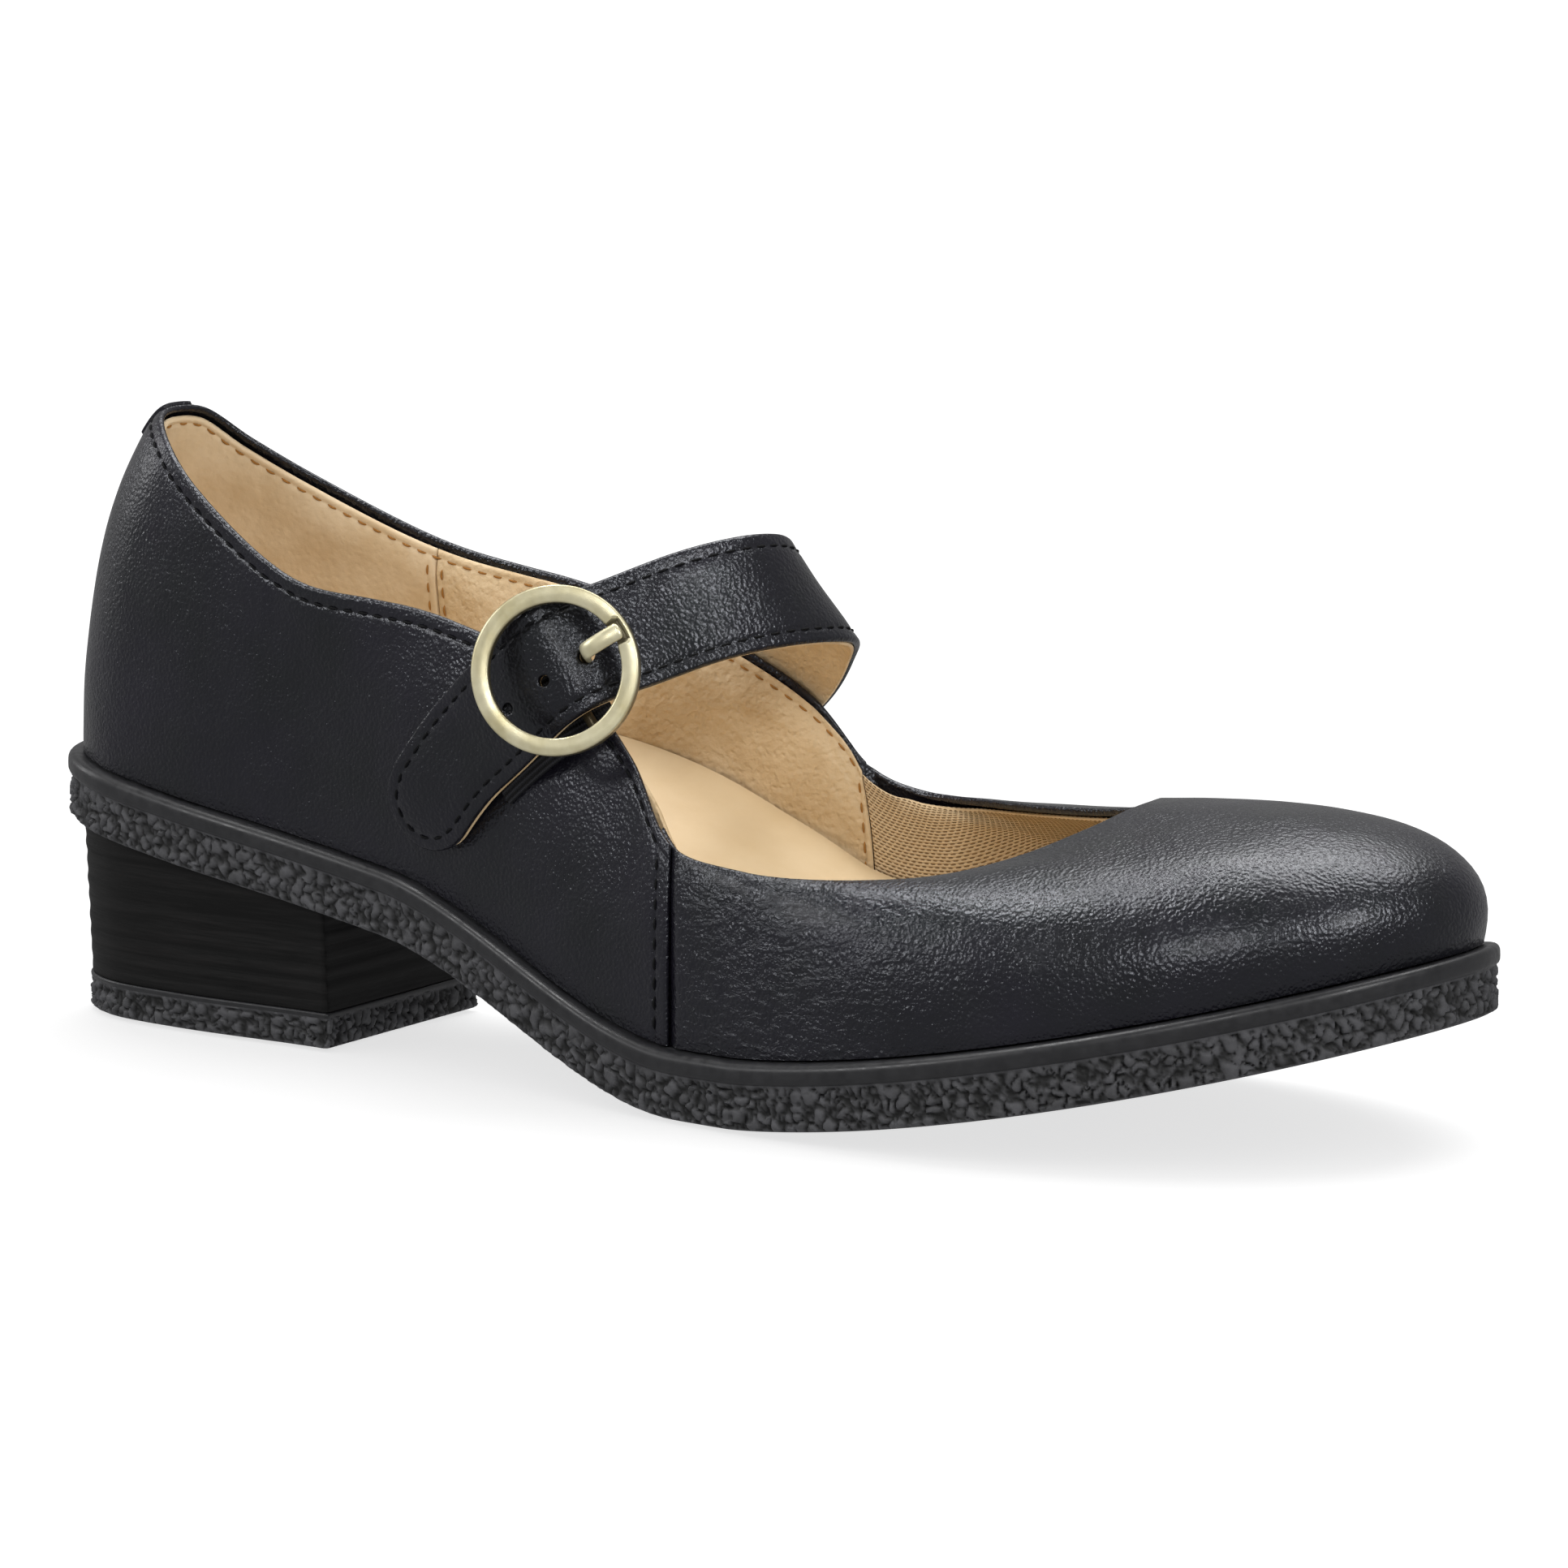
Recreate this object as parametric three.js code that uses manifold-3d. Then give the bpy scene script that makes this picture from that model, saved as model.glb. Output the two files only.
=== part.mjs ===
// A right-foot black leather Mary Jane on a stacked block heel, with a round buckle on an elastic
// gore. Millimetres, +X towards the toe, +Y towards the inner (medial) side, +Z up, standing on z = 0.
import * as THREE from 'three';
import { mergeVertices } from 'three/addons/utils/BufferGeometryUtils.js';
import Module from 'manifold-3d';

const wasm = await Module();
wasm.setup();

// ---------------------------------------------------------------- driving sizes
const SOLE_LENGTH = 268;
const BALL_WIDTH = 91;
const BACK_HEIGHT = 62;            // topline at the back seam above the top of the sole
const SEAT_HEIGHT = 34.6;          // underside of the sole at the very back
const SEAT_PITCH = 0.163;          // fall of the heel seat per mm towards the toe
const TOE_SPRING = 21;             // underside of the sole at the toe tip
const SOLE_THICKNESS = 11;
const LIP_HEIGHT = 3.4;            // smooth moulded band along the top of the sole wall
const FEATHER_INSET = 2.6;         // upper stands this far inside the edge of the sole
const HEEL_BREAST_X = 65.6;        // front face of the heel block
const HEEL_INSET = 2.8;            // heel block inside the sole edge, at its top
const HEEL_TAPER = 1;              // further inset at the foot of the heel block
const LIFT_HEIGHT = 6.2;
const VENEER = 1.4;                // stacked-leather skin round the heel block
const LEATHER = 1.3;
const LINING = 1;
const STIFFENER = 0.9;             // heel counter and toe puff
const LASTING_MARGIN = 11;         // leather turned in under the insole board
const BOARD = 2;
const FOOTBED_HEIGHT = 14;         // foam top above the top of the sole
const ARCH_RISE = 11;              // extra foam height along the inner arch
const FOOTBED_DISH = 1.6;
const FOOTBED_COVER = 1.2;
const SHANK_WIDTH = 14;
const SHANK_THICKNESS = 1;
const SHANK_START_X = 53;
const SHANK_END_X = 134;
const STRAP_WIDTH = 19.4;
const STRAP_TAIL_WIDTH = 17;
const STRAP_LEATHER = 1.2;
const STRAP_LINING = 0.7;
const RING_OUTER_RADIUS = 13.9;
const RING_BAND = 2.9;
const RING_THICKNESS = 2.2;
const BAR_RADIUS = 0.9;
const PRONG_WIDTH = 2;
const PRONG_THICKNESS = 1.2;
const EYE_WALL = 0.6;              // prong's eye round the bar
const EYE_SLACK = 0.25;
const HOLE_RADIUS = 1.7;
const HOLE_PITCH = 8;
const ELASTIC_WIDTH = 16;
const ELASTIC_THICKNESS = 0.9;
const SCREW_RADIUS = 2.4;
const NAIL_RADIUS = 1;
const RIVET_RADIUS = 2;
const FOOTBED_FIT = 0.5;           // board and footbed inside the lining
const GAP = 0.3;                   // clearance between pieces that touch
const ROUND_SIDES = 12;

// The pattern below is drawn for these sizes and graded to the driving ones.
const PATTERN = { length: 268, width: 91, back: 62 };
const ALONG = SOLE_LENGTH / PATTERN.length;
const ACROSS = BALL_WIDTH / PATTERN.width;
const UPWARD = BACK_HEIGHT / PATTERN.back;

// Ribs round the upper, from the back seam along the outer side to the toe and back along the
// inner side: sole edge x y, topline x y, topline height above the sole, fullness, swell.
const RIBS = [
  [0, 0, 19, 0, 62, 1.5, 1.5],
  [3.5, -11.5, 20.6, -6, 61.4, 1.5, 1.5],
  [14, -19.9, 27.7, -14, 58.3, 1.45, 1.5],
  [32, -24.1, 36.9, -19, 53.2, 1.4, 1.5],
  [60, -26.3, 59.4, -24, 43.8, 1.35, 1.5],
  [78, -28.6, 77, -25.2, 44.4, 1.3, 1.5],
  [95, -32.1, 94, -26, 46.2, 1.3, 1.5],
  [120, -38, 119, -28, 48.5, 1.3, 1.2],
  [132, -41, 131.5, -31.5, 42.8, 1.3, 1],
  [144, -43.8, 142.8, -37.5, 32.4, 1.35, 1],
  [165, -47, 158, -38.5, 29.6, 1.6, 1],
  [190, -48.2, 176, -35.5, 27.8, 1.8, 1.2],
  [213, -45.2, 188, -29.5, 27.1, 2.1, 1.6],
  [236, -36.7, 197, -21, 28.1, 2.5, 1.8],
  [254, -24, 204, -11, 30.4, 2.9, 2],
  [265, -8, 207, -1, 32.2, 3.1, 2.1],
  [267.5, 5, 207.3, 4.5, 32.5, 3.1, 2.1],
  [264, 17, 206, 10, 32.4, 3, 2.1],
  [252, 29, 200, 16, 31, 2.7, 2],
  [235, 37.5, 190, 20, 30.8, 2.3, 1.8],
  [212, 42.5, 177.4, 22.5, 31.8, 2, 1.6],
  [186, 43, 163, 27, 32.7, 1.8, 1.2],
  [158, 36.5, 150, 30, 33.2, 1.5, 1],
  [142, 32.3, 139.4, 30.5, 36.1, 1.35, 1],
  [130, 29.5, 130, 27.5, 45.3, 1.3, 1],
  [112, 27.2, 110, 25.5, 47.9, 1.3, 1],
  [90, 26, 89.8, 24.5, 44.9, 1.3, 1],
  [75, 26, 74.5, 23.9, 44.5, 1.3, 1.2],
  [60, 26.5, 59, 23, 45.5, 1.35, 1.5],
  [32, 26.5, 36.1, 19.5, 51.4, 1.4, 1.5],
  [14, 23, 26, 13.5, 56.6, 1.45, 1.5],
  [3.5, 14.5, 20.6, 7, 61.4, 1.5, 1.5],
];
const RIB_COUNT = RIBS.length;
const OUTER_SEAM = 9;              // rib where the outer quarter's front edge lies on the vamp
const INNER_SEAM = 23;             // the same on the inner side
const VAMP_UNDERLAY = 0.5;         // ribs of vamp under each quarter
const HEEL_LINING_FRONT = 4;       // rib of the seam between heel and quarter lining, outer side
const HEEL_LINING_BACK = 28;       // the same on the inner side
const SEAM_GAP = 0.02;             // ribs between two edges that meet
const SEAM_STEP = 0.25;            // ribs over which the vamp comes up in front of a quarter
const COUNTER_REACH = 2.5;
const PUFF_START = 12.5;
const PUFF_END = 19.5;

// ---------------------------------------------------------------- solids from rings of points
const flatten = (point) => [point.x, point.y, point.z];

function signedVolume(positions, index) {
  const a = new THREE.Vector3();
  const b = new THREE.Vector3();
  const c = new THREE.Vector3();
  let volume = 0;
  for (let i = 0; i < index.length; i += 3) {
    a.fromArray(positions, 3 * index[i]);
    b.fromArray(positions, 3 * index[i + 1]);
    c.fromArray(positions, 3 * index[i + 2]);
    volume += a.dot(b.cross(c)) / 6;
  }
  return volume;
}

// Triangles over a nearly flat closed ring, in its own best plane.
function capTriangles(ring) {
  const normal = new THREE.Vector3();
  ring.forEach((point, i) => {
    normal.add(new THREE.Vector3().crossVectors(point, ring[(i + 1) % ring.length]));
  });
  normal.normalize();
  const side = new THREE.Vector3(0, 0, 1).cross(normal);
  if (side.length() < 0.1) side.set(1, 0, 0);
  side.normalize();
  const rise = new THREE.Vector3().crossVectors(normal, side);
  const flat = ring.map((point) => new THREE.Vector2(point.dot(side), point.dot(rise)));
  return THREE.ShapeUtils.triangulateShape(flat, []);
}

// A closed solid over rings that all have the same number of points, a face and then its back. A
// looped solid joins its last ring to its first and has no end caps. Face and back are split into
// triangles along the same diagonals, so that twisted layers stay parallel.
function loft(rings, looped = false) {
  const size = rings[0].length;
  const positions = rings.flat().flatMap(flatten);
  const index = [];
  const steps = looped ? rings.length : rings.length - 1;
  for (let i = 0; i < steps; i++) {
    const near = i * size;
    const far = ((i + 1) % rings.length) * size;
    for (let j = 0; j < size; j++) {
      const next = (j + 1) % size;
      if (j < size / 2) {
        index.push(near + j, near + next, far + next);
        index.push(near + j, far + next, far + j);
      } else {
        index.push(near + j, near + next, far + j);
        index.push(near + next, far + next, far + j);
      }
    }
  }
  if (!looped) {
    const last = (rings.length - 1) * size;
    capTriangles(rings[0]).forEach(([a, b, c]) => index.push(a, c, b));
    capTriangles(rings.at(-1)).forEach(([a, b, c]) => index.push(last + a, last + b, last + c));
  }
  if (signedVolume(positions, index) < 0) {
    for (let i = 0; i < index.length; i += 3) {
      [index[i + 1], index[i + 2]] = [index[i + 2], index[i + 1]];
    }
  }
  const geometry = new THREE.BufferGeometry();
  geometry.setAttribute('position', new THREE.Float32BufferAttribute(positions, 3));
  geometry.setIndex(index);
  return geometry;
}

function toSolid(geometry) {
  const bare = geometry.clone();
  bare.deleteAttribute('normal');
  bare.deleteAttribute('uv');
  const merged = mergeVertices(bare, 1e-4);
  return new wasm.Manifold(new wasm.Mesh({
    numProp: 3,
    vertProperties: merged.attributes.position.array,
    triVerts: new Uint32Array(merged.index.array),
  }));
}

function toGeometry(solid) {
  const mesh = solid.getMesh();
  const geometry = new THREE.BufferGeometry();
  geometry.setAttribute('position', new THREE.BufferAttribute(mesh.vertProperties, mesh.numProp));
  geometry.setIndex(new THREE.BufferAttribute(mesh.triVerts, 1));
  return geometry;
}

const cut = (geometry, tools) => toGeometry(
  tools.reduce((solid, tool) => solid.subtract(toSolid(tool)), toSolid(geometry)),
);
const join = (geometry, others) => toGeometry(
  others.reduce((solid, other) => solid.add(toSolid(other)), toSolid(geometry)),
);

// An upright round pin between two heights.
function pin(radius, x, y, bottom, top) {
  const geometry = new THREE.CylinderGeometry(radius, radius, top - bottom, ROUND_SIDES);
  geometry.rotateX(Math.PI / 2);
  geometry.translate(x, y, (bottom + top) / 2);
  return geometry;
}

// ---------------------------------------------------------------- sole profile and outline
const lerp = THREE.MathUtils.lerp;
const ARCH_START_X = 80 * ALONG;
const BALL_BACK_X = 148 * ALONG;
const BALL_FRONT_X = 158 * ALONG;
const TOE_CURVE = 1.4;

// Height of the sole's underside: straight heel seat, arch, flat tread at the ball, toe spring.
function soleBottom(x) {
  if (x < ARCH_START_X) return SEAT_HEIGHT - SEAT_PITCH * x;
  if (x < BALL_BACK_X) {
    const span = BALL_BACK_X - ARCH_START_X;
    const t = (x - ARCH_START_X) / span;
    const start = SEAT_HEIGHT - SEAT_PITCH * ARCH_START_X;
    return start * (1 - 3 * t ** 2 + 2 * t ** 3) - SEAT_PITCH * span * (t - 2 * t ** 2 + t ** 3);
  }
  if (x < BALL_FRONT_X) return 0;
  return TOE_SPRING * ((x - BALL_FRONT_X) / (SOLE_LENGTH - BALL_FRONT_X)) ** TOE_CURVE;
}

const soleTop = (x) => soleBottom(x) + SOLE_THICKNESS;

const closedCurve = (points) => new THREE.CatmullRomCurve3(points, true, 'centripetal');
const soleEdge = closedCurve(RIBS.map(([x, y]) => new THREE.Vector3(x * ALONG, y * ACROSS, 0)));
const topline = closedCurve(
  RIBS.map(([, , x, y, height]) => new THREE.Vector3(x * ALONG, y * ACROSS, height * UPWARD)),
);

const wrap = (rib) => THREE.MathUtils.euclideanModulo(rib / RIB_COUNT, 1);

// The sole edge at a rib, moved inwards.
function edgePoint(rib, inset) {
  const point = soleEdge.getPoint(wrap(rib));
  const tangent = soleEdge.getTangent(wrap(rib));
  point.x -= inset * tangent.y;
  point.y += inset * tangent.x;
  return point;
}

const RING_SAMPLES = 150;

function edgeRing(inset, heightAt) {
  return Array.from({ length: RING_SAMPLES }, (_, i) => {
    const point = edgePoint((i * RIB_COUNT) / RING_SAMPLES, inset);
    point.z = heightAt(point.x);
    return point;
  });
}

// Where a closed ring crosses a plane of constant x: its outer-side and inner-side points.
function crossing(ring, x) {
  const hits = [];
  ring.forEach((start, i) => {
    const end = ring[(i + 1) % ring.length];
    if ((start.x - x) * (end.x - x) <= 0 && start.x !== end.x) {
      hits.push(start.clone().lerp(end, (x - start.x) / (end.x - start.x)));
    }
  });
  hits.sort((a, b) => a.y - b.y);
  return [hits[0], hits.at(-1)];
}

const SECTIONS = 34;
const BLUNT_END = 0.004;

// A solid whose side walls run through a stack of rings, the top one first. It is cut into
// sections across the shoe, closer together at the rounded ends.
function plate(rings, { sections = SECTIONS, across = 1, topDish = 0, footDish = 0 } = {}) {
  const ranges = rings.map((ring) => {
    const xs = ring.map((point) => point.x);
    return [Math.min(...xs), Math.max(...xs)];
  });
  const bridge = (from, to, dish) => Array.from({ length: across - 1 }, (_, i) => {
    const share = (i + 1) / across;
    const point = from.clone().lerp(to, share);
    point.z -= dish * (1 - (2 * share - 1) ** 4);
    return point;
  });
  return loft(Array.from({ length: sections + 1 }, (_, i) => {
    const share = (1 - Math.cos((Math.PI * i) / sections)) / 2;
    const place = lerp(BLUNT_END, 1 - BLUNT_END, share);
    const pairs = rings.map((ring, k) => crossing(ring, lerp(...ranges[k], place)));
    const outer = pairs.map((pair) => pair[0]);
    const inner = pairs.map((pair) => pair[1]).reverse();
    return [
      ...outer,
      ...bridge(outer.at(-1), inner[0], footDish),
      ...inner,
      ...bridge(inner.at(-1), outer[0], topDish),
    ];
  }));
}

// ---------------------------------------------------------------- surface of the upper
// A value given per rib, blended smoothly between ribs.
function perRib(column, rib) {
  const low = Math.floor(rib);
  const at = (i) => RIBS[THREE.MathUtils.euclideanModulo(i, RIB_COUNT)][column];
  return lerp(at(low), at(low + 1), THREE.MathUtils.smoothstep(rib - low, 0, 1));
}

// Outer face of the upper: rib round the shoe, rise 0 at the sole to 1 at the topline.
function skin(rib, rise) {
  const foot = edgePoint(rib, FEATHER_INSET);
  foot.z = soleTop(foot.x) + GAP;
  const edge = topline.getPoint(wrap(rib));
  edge.z += soleTop(edge.x);
  const fullness = perRib(5, rib);
  const swell = perRib(6, rib);
  const angle = (rise * Math.PI) / 2;
  const c = Math.cos(angle);
  const s = Math.sin(angle);
  const radius = (Math.abs(c) ** fullness + Math.abs(s) ** fullness) ** (-1 / fullness);
  const inward = new THREE.Vector3(edge.x - foot.x, edge.y - foot.y, 0);
  const point = foot.clone().addScaledVector(inward, 1 - radius * c);
  point.z += radius * s * (edge.z - foot.z);
  const bump = swell * Math.sin(2 * angle);
  inward.normalize();
  point.addScaledVector(inward, -bump * c);
  point.z += bump * s;
  return point;
}

function skinNormal(rib, rise) {
  const step = 0.02;
  const low = Math.max(rise - step, 0.001);
  const high = Math.min(rise + step, 1);
  const up = skin(rib, high).sub(skin(rib, low));
  const round = skin(rib + step, rise).sub(skin(rib - step, rise));
  return round.cross(up).normalize();
}

// A point at a depth under the outer face; a negative depth stands off it.
const under = (rib, rise, depth) => skin(rib, rise).addScaledVector(skinNormal(rib, rise), -depth);

const STIFFENER_DEPTH = LEATHER + GAP;
const LINING_DEPTH = STIFFENER_DEPTH + Math.max(STIFFENER, LEATHER) + GAP;
const EDGE_LINING_DEPTH = LEATHER + GAP;
const FOLD_ZONE = 0.25;

// How far a rib lies from the nearer of the two seams between quarters and vamp.
const fromSeam = (rib) => Math.min(Math.abs(rib - OUTER_SEAM), Math.abs(rib - INNER_SEAM));

// The lining lies behind stiffeners and underlay, and closes up to the leather near the topline.
function liningDepth(rise, rib) {
  const low = THREE.MathUtils.smoothstep(1 - rise, 0, FOLD_ZONE);
  const atSeam = 1 - THREE.MathUtils.smoothstep(fromSeam(rib), VAMP_UNDERLAY, 2 * VAMP_UNDERLAY);
  return lerp(EDGE_LINING_DEPTH, LINING_DEPTH, Math.max(low, atSeam));
}

// The rise at which a layer reaches a height above the top of the sole.
function riseAt(rib, height, depth) {
  let low = 0;
  let high = 1;
  for (let i = 0; i < 24; i++) {
    const middle = (low + high) / 2;
    const point = under(rib, middle, depth);
    if (point.z - soleTop(point.x) < height) low = middle;
    else high = middle;
  }
  return (low + high) / 2;
}

// All layers share these steps, so that their facets lie parallel.
const COLUMNS_PER_RIB = 2;
const ROWS = 8;

// Evenly shared steps between two ends, with the ends themselves.
function gridSteps(from, to, perUnit) {
  const steps = [from];
  for (let i = Math.floor(from * perUnit) + 1; i / perUnit < to; i++) {
    if (i / perUnit - from > 0.05 / perUnit) steps.push(i / perUnit);
  }
  return [...steps, to];
}

const seamStops = [OUTER_SEAM + SEAM_STEP, INNER_SEAM - SEAM_STEP];

function columnRibs(from, to) {
  const stops = seamStops.filter((stop) => stop > from && stop < to);
  return [...gridSteps(from, to, COLUMNS_PER_RIB), ...stops].sort((a, b) => a - b);
}

// One layer of the upper over a list of ribs, from a low edge below its first whole row.
function layer({ ribs, outer, inner, low, high, firstRow = 1 }) {
  return loft(ribs.map((rib) => {
    const rises = [low(rib), ...gridSteps(firstRow / ROWS, high, ROWS)];
    const face = rises.map((rise) => under(rib, rise, outer(rise, rib)));
    const back = rises.map((rise) => under(rib, rise, inner(rise, rib)));
    return [...face, ...back.reverse()];
  }));
}

// Outer leather, turned in under the insole board by the lasting margin. Where it runs sunk under
// another piece, it is trimmed and ends on that piece's own turned margin.
function lastedLeather(ribs, sink = () => 0) {
  return loft(ribs.map((rib) => {
    const depth = sink(rib);
    const margin = depth > 0 ? depth + LEATHER / 2 : LASTING_MARGIN;
    const raised = rib > OUTER_SEAM && rib < INNER_SEAM ? 0 : depth;
    const inTurn = (inset, lift) => {
      const point = edgePoint(rib, FEATHER_INSET + inset);
      point.z = soleTop(point.x) + GAP + raised + lift;
      return point;
    };
    const rises = gridSteps(1 / ROWS, 1, ROWS);
    const face = rises.map((rise) => under(rib, rise, depth));
    const back = rises.map((rise) => under(rib, rise, depth + LEATHER)).reverse();
    const turned = [inTurn(margin, 0), inTurn(depth, 0)];
    const turnedBack = [inTurn(depth + LEATHER, LEATHER), inTurn(margin, LEATHER)];
    return [...turned, ...face, ...back, ...turnedBack];
  }));
}

// ---------------------------------------------------------------- upper
const liningFoot = GAP + LEATHER + GAP;

// The vamp runs under each quarter at its ends, and comes up to the surface in front of them.
function vampSink(rib) {
  const ahead = Math.min(rib - OUTER_SEAM, INNER_SEAM - rib);
  return (LEATHER + GAP) * (1 - THREE.MathUtils.smoothstep(ahead, SEAM_GAP, SEAM_STEP));
}

function makeVamp() {
  return lastedLeather([
    OUTER_SEAM - VAMP_UNDERLAY,
    OUTER_SEAM,
    ...columnRibs(OUTER_SEAM + SEAM_GAP, INNER_SEAM - SEAM_GAP),
    INNER_SEAM,
    INNER_SEAM + VAMP_UNDERLAY,
  ], vampSink);
}

const makeQuarter = (from, to) => lastedLeather(columnRibs(from + SEAM_GAP, to - SEAM_GAP));

const makeLining = (from, to) => layer({
  ribs: columnRibs(from + SEAM_GAP, to - SEAM_GAP),
  outer: liningDepth,
  inner: (rise, rib) => liningDepth(rise, rib) + LINING,
  low: (rib) => riseAt(rib, liningFoot, LINING_DEPTH),
  high: 0.985,
});

const makeStiffener = (from, to, high) => layer({
  ribs: columnRibs(from, to),
  outer: () => STIFFENER_DEPTH,
  inner: () => STIFFENER_DEPTH + STIFFENER,
  low: (rib) => riseAt(rib, liningFoot, STIFFENER_DEPTH),
  high,
});

// A short leather tab over the top of the back seam.
const makeBackStay = () => layer({
  ribs: columnRibs(RIB_COUNT - 0.6, RIB_COUNT + 0.7),
  outer: () => -GAP - LEATHER / 2,
  inner: () => -GAP,
  low: () => 0.8,
  high: 0.99,
  firstRow: 7,
});

// ---------------------------------------------------------------- sole unit and heel
function makeOutsole() {
  const from = (inset, lift) => edgeRing(inset, (x) => soleBottom(x) + lift);
  const wallTop = SOLE_THICKNESS - LIP_HEIGHT;
  return plate([
    from(1.8, SOLE_THICKNESS),
    from(0.5, SOLE_THICKNESS - 0.4),
    from(0, SOLE_THICKNESS - 1.4),
    from(0, wallTop),
    from(0.5, wallTop - 0.4),
    from(0.3, 1),
    from(1.2, 0),
  ], { sections: 92 });
}

// Ring round the heel block: the sole edge behind the breast, closed by the flat breast face.
const HEEL_SAMPLES = 28;

function heelRing(inset, breastX, heightAt) {
  const cornerRib = (low, high) => {
    let near = low;
    let far = high;
    for (let i = 0; i < 24; i++) {
      const middle = (near + far) / 2;
      if (edgePoint(middle, inset).x < breastX) near = middle;
      else far = middle;
    }
    return near;
  };
  const outer = cornerRib(0, RIB_COUNT / 4);
  const inner = cornerRib(0, -RIB_COUNT / 4);
  return Array.from({ length: HEEL_SAMPLES + 1 }, (_, i) => {
    const point = edgePoint(lerp(inner, outer, i / HEEL_SAMPLES), inset);
    point.z = heightAt(point.x);
    return point;
  });
}

const heelTop = (x) => soleBottom(x) - GAP;
const heelFoot = () => LIFT_HEIGHT + GAP;
const heelWall = (inset, breast) => [
  heelRing(inset, breast, heelTop),
  heelRing(inset + HEEL_TAPER, breast, heelFoot),
];

function makeHeelWrap() {
  const [outerTop, outerFoot] = heelWall(HEEL_INSET, HEEL_BREAST_X);
  const [innerTop, innerFoot] = heelWall(HEEL_INSET + VENEER, HEEL_BREAST_X - VENEER);
  return loft(outerTop.map((_, i) => [outerFoot[i], outerTop[i], innerTop[i], innerFoot[i]]), true);
}

function makeHeelCore() {
  const inset = VENEER + GAP;
  return plate(heelWall(HEEL_INSET + inset, HEEL_BREAST_X - inset), { sections: 12 });
}

function makeTopLift() {
  const inset = HEEL_INSET + HEEL_TAPER - 0.4;
  const breast = HEEL_BREAST_X + 0.4;
  return plate([
    heelRing(inset + 0.5, breast - 0.5, () => LIFT_HEIGHT),
    heelRing(inset, breast, () => LIFT_HEIGHT - 0.6),
    heelRing(inset, breast, () => 0.8),
    heelRing(inset + 0.8, breast - 0.8, () => 0),
  ], { sections: 14 });
}

// ---------------------------------------------------------------- inside the bottom of the shoe
const BOARD_BOTTOM = liningFoot;
const BOARD_TOP = BOARD_BOTTOM + BOARD;

// Ring inside the lining at a height above the sole that may change from rib to rib.
function cavityRing(heightAt) {
  return Array.from({ length: RING_SAMPLES }, (_, i) => {
    const rib = (i * RIB_COUNT) / RING_SAMPLES;
    const depth = LINING_DEPTH + LINING + FOOTBED_FIT;
    const height = heightAt(rib);
    const point = under(rib, riseAt(rib, height, depth), depth);
    point.z = soleTop(point.x) + height;
    return point;
  });
}

const makeBoard = () => plate([cavityRing(() => BOARD_TOP), cavityRing(() => BOARD_BOTTOM)]);

// The edge of the footbed stands higher along the inner arch.
const FOOTBED_ACROSS = 6;
const ARCH_CENTRE_RIB = 24.7;
const ARCH_SPREAD = 1.8;
const archLift = (rib) => ARCH_RISE * Math.exp(-(((rib - ARCH_CENTRE_RIB) / ARCH_SPREAD) ** 2));
const coverTop = (rib) => FOOTBED_HEIGHT + GAP + FOOTBED_COVER + archLift(rib);

// Foam and cover share one outline, so that they lie parallel.
const footbedRing = (drop) => cavityRing(coverTop).map((point) => (
  new THREE.Vector3(point.x, point.y, point.z - drop)
));
const makeFoam = () => plate(
  [footbedRing(FOOTBED_COVER + GAP), cavityRing(() => BOARD_TOP + GAP)],
  { across: FOOTBED_ACROSS, topDish: FOOTBED_DISH },
);
const makeCover = () => plate(
  [footbedRing(0), footbedRing(FOOTBED_COVER)],
  { across: FOOTBED_ACROSS, topDish: FOOTBED_DISH, footDish: FOOTBED_DISH },
);

const FILLER_START_X = SHANK_END_X + 14;
const fillerRing = (lift) => {
  const ring = edgeRing(FEATHER_INSET + LASTING_MARGIN + GAP, (x) => soleTop(x) + lift);
  return ring.filter((point) => point.x > FILLER_START_X);
};
const makeFiller = () => plate([fillerRing(GAP + LEATHER), fillerRing(GAP)], { sections: 22 });

const RIVET_BACK_INSET = 13;
const RIVET_FRONT_INSET = 28;
const rivetXs = [SHANK_START_X + RIVET_BACK_INSET, SHANK_END_X - RIVET_FRONT_INSET];

function makeShank() {
  const steps = 14;
  const half = SHANK_WIDTH / 2;
  const sections = Array.from({ length: steps + 1 }, (_, i) => {
    const x = lerp(SHANK_START_X, SHANK_END_X, i / steps);
    const low = soleTop(x) + GAP;
    const high = low + SHANK_THICKNESS;
    return [
      new THREE.Vector3(x, -half, low),
      new THREE.Vector3(x, half, low),
      new THREE.Vector3(x, half, high),
      new THREE.Vector3(x, -half, high),
    ];
  });
  return loft(sections);
}

const SCREW_X = 33;
const SCREW_DEPTH = 16;
const NAIL_DEPTH = 11;
const nailPlaces = [
  [20, -4],
  [20, 6],
  [46, -6],
  [46, 8],
];
const screwTop = soleTop(SCREW_X) + BOARD_TOP - 0.8;
const screw = (slack) => pin(
  SCREW_RADIUS + slack,
  SCREW_X,
  1,
  soleBottom(SCREW_X) - SCREW_DEPTH - slack,
  screwTop + slack,
);
const nail = ([x, y], slack) => pin(
  NAIL_RADIUS + slack,
  x,
  y,
  soleBottom(x) - NAIL_DEPTH - slack,
  soleTop(x) + BOARD_TOP - 0.5 + slack,
);
const rivet = (x, slack) => pin(
  RIVET_RADIUS + slack,
  x,
  0,
  soleTop(x - RIVET_RADIUS) + GAP - slack / 2,
  soleTop(x + RIVET_RADIUS) + BOARD_TOP - GAP + slack,
);
const heelFixings = [screw(GAP), ...nailPlaces.map((place) => nail(place, GAP))];
const rivetBores = rivetXs.map((x) => rivet(x, GAP));

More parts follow.
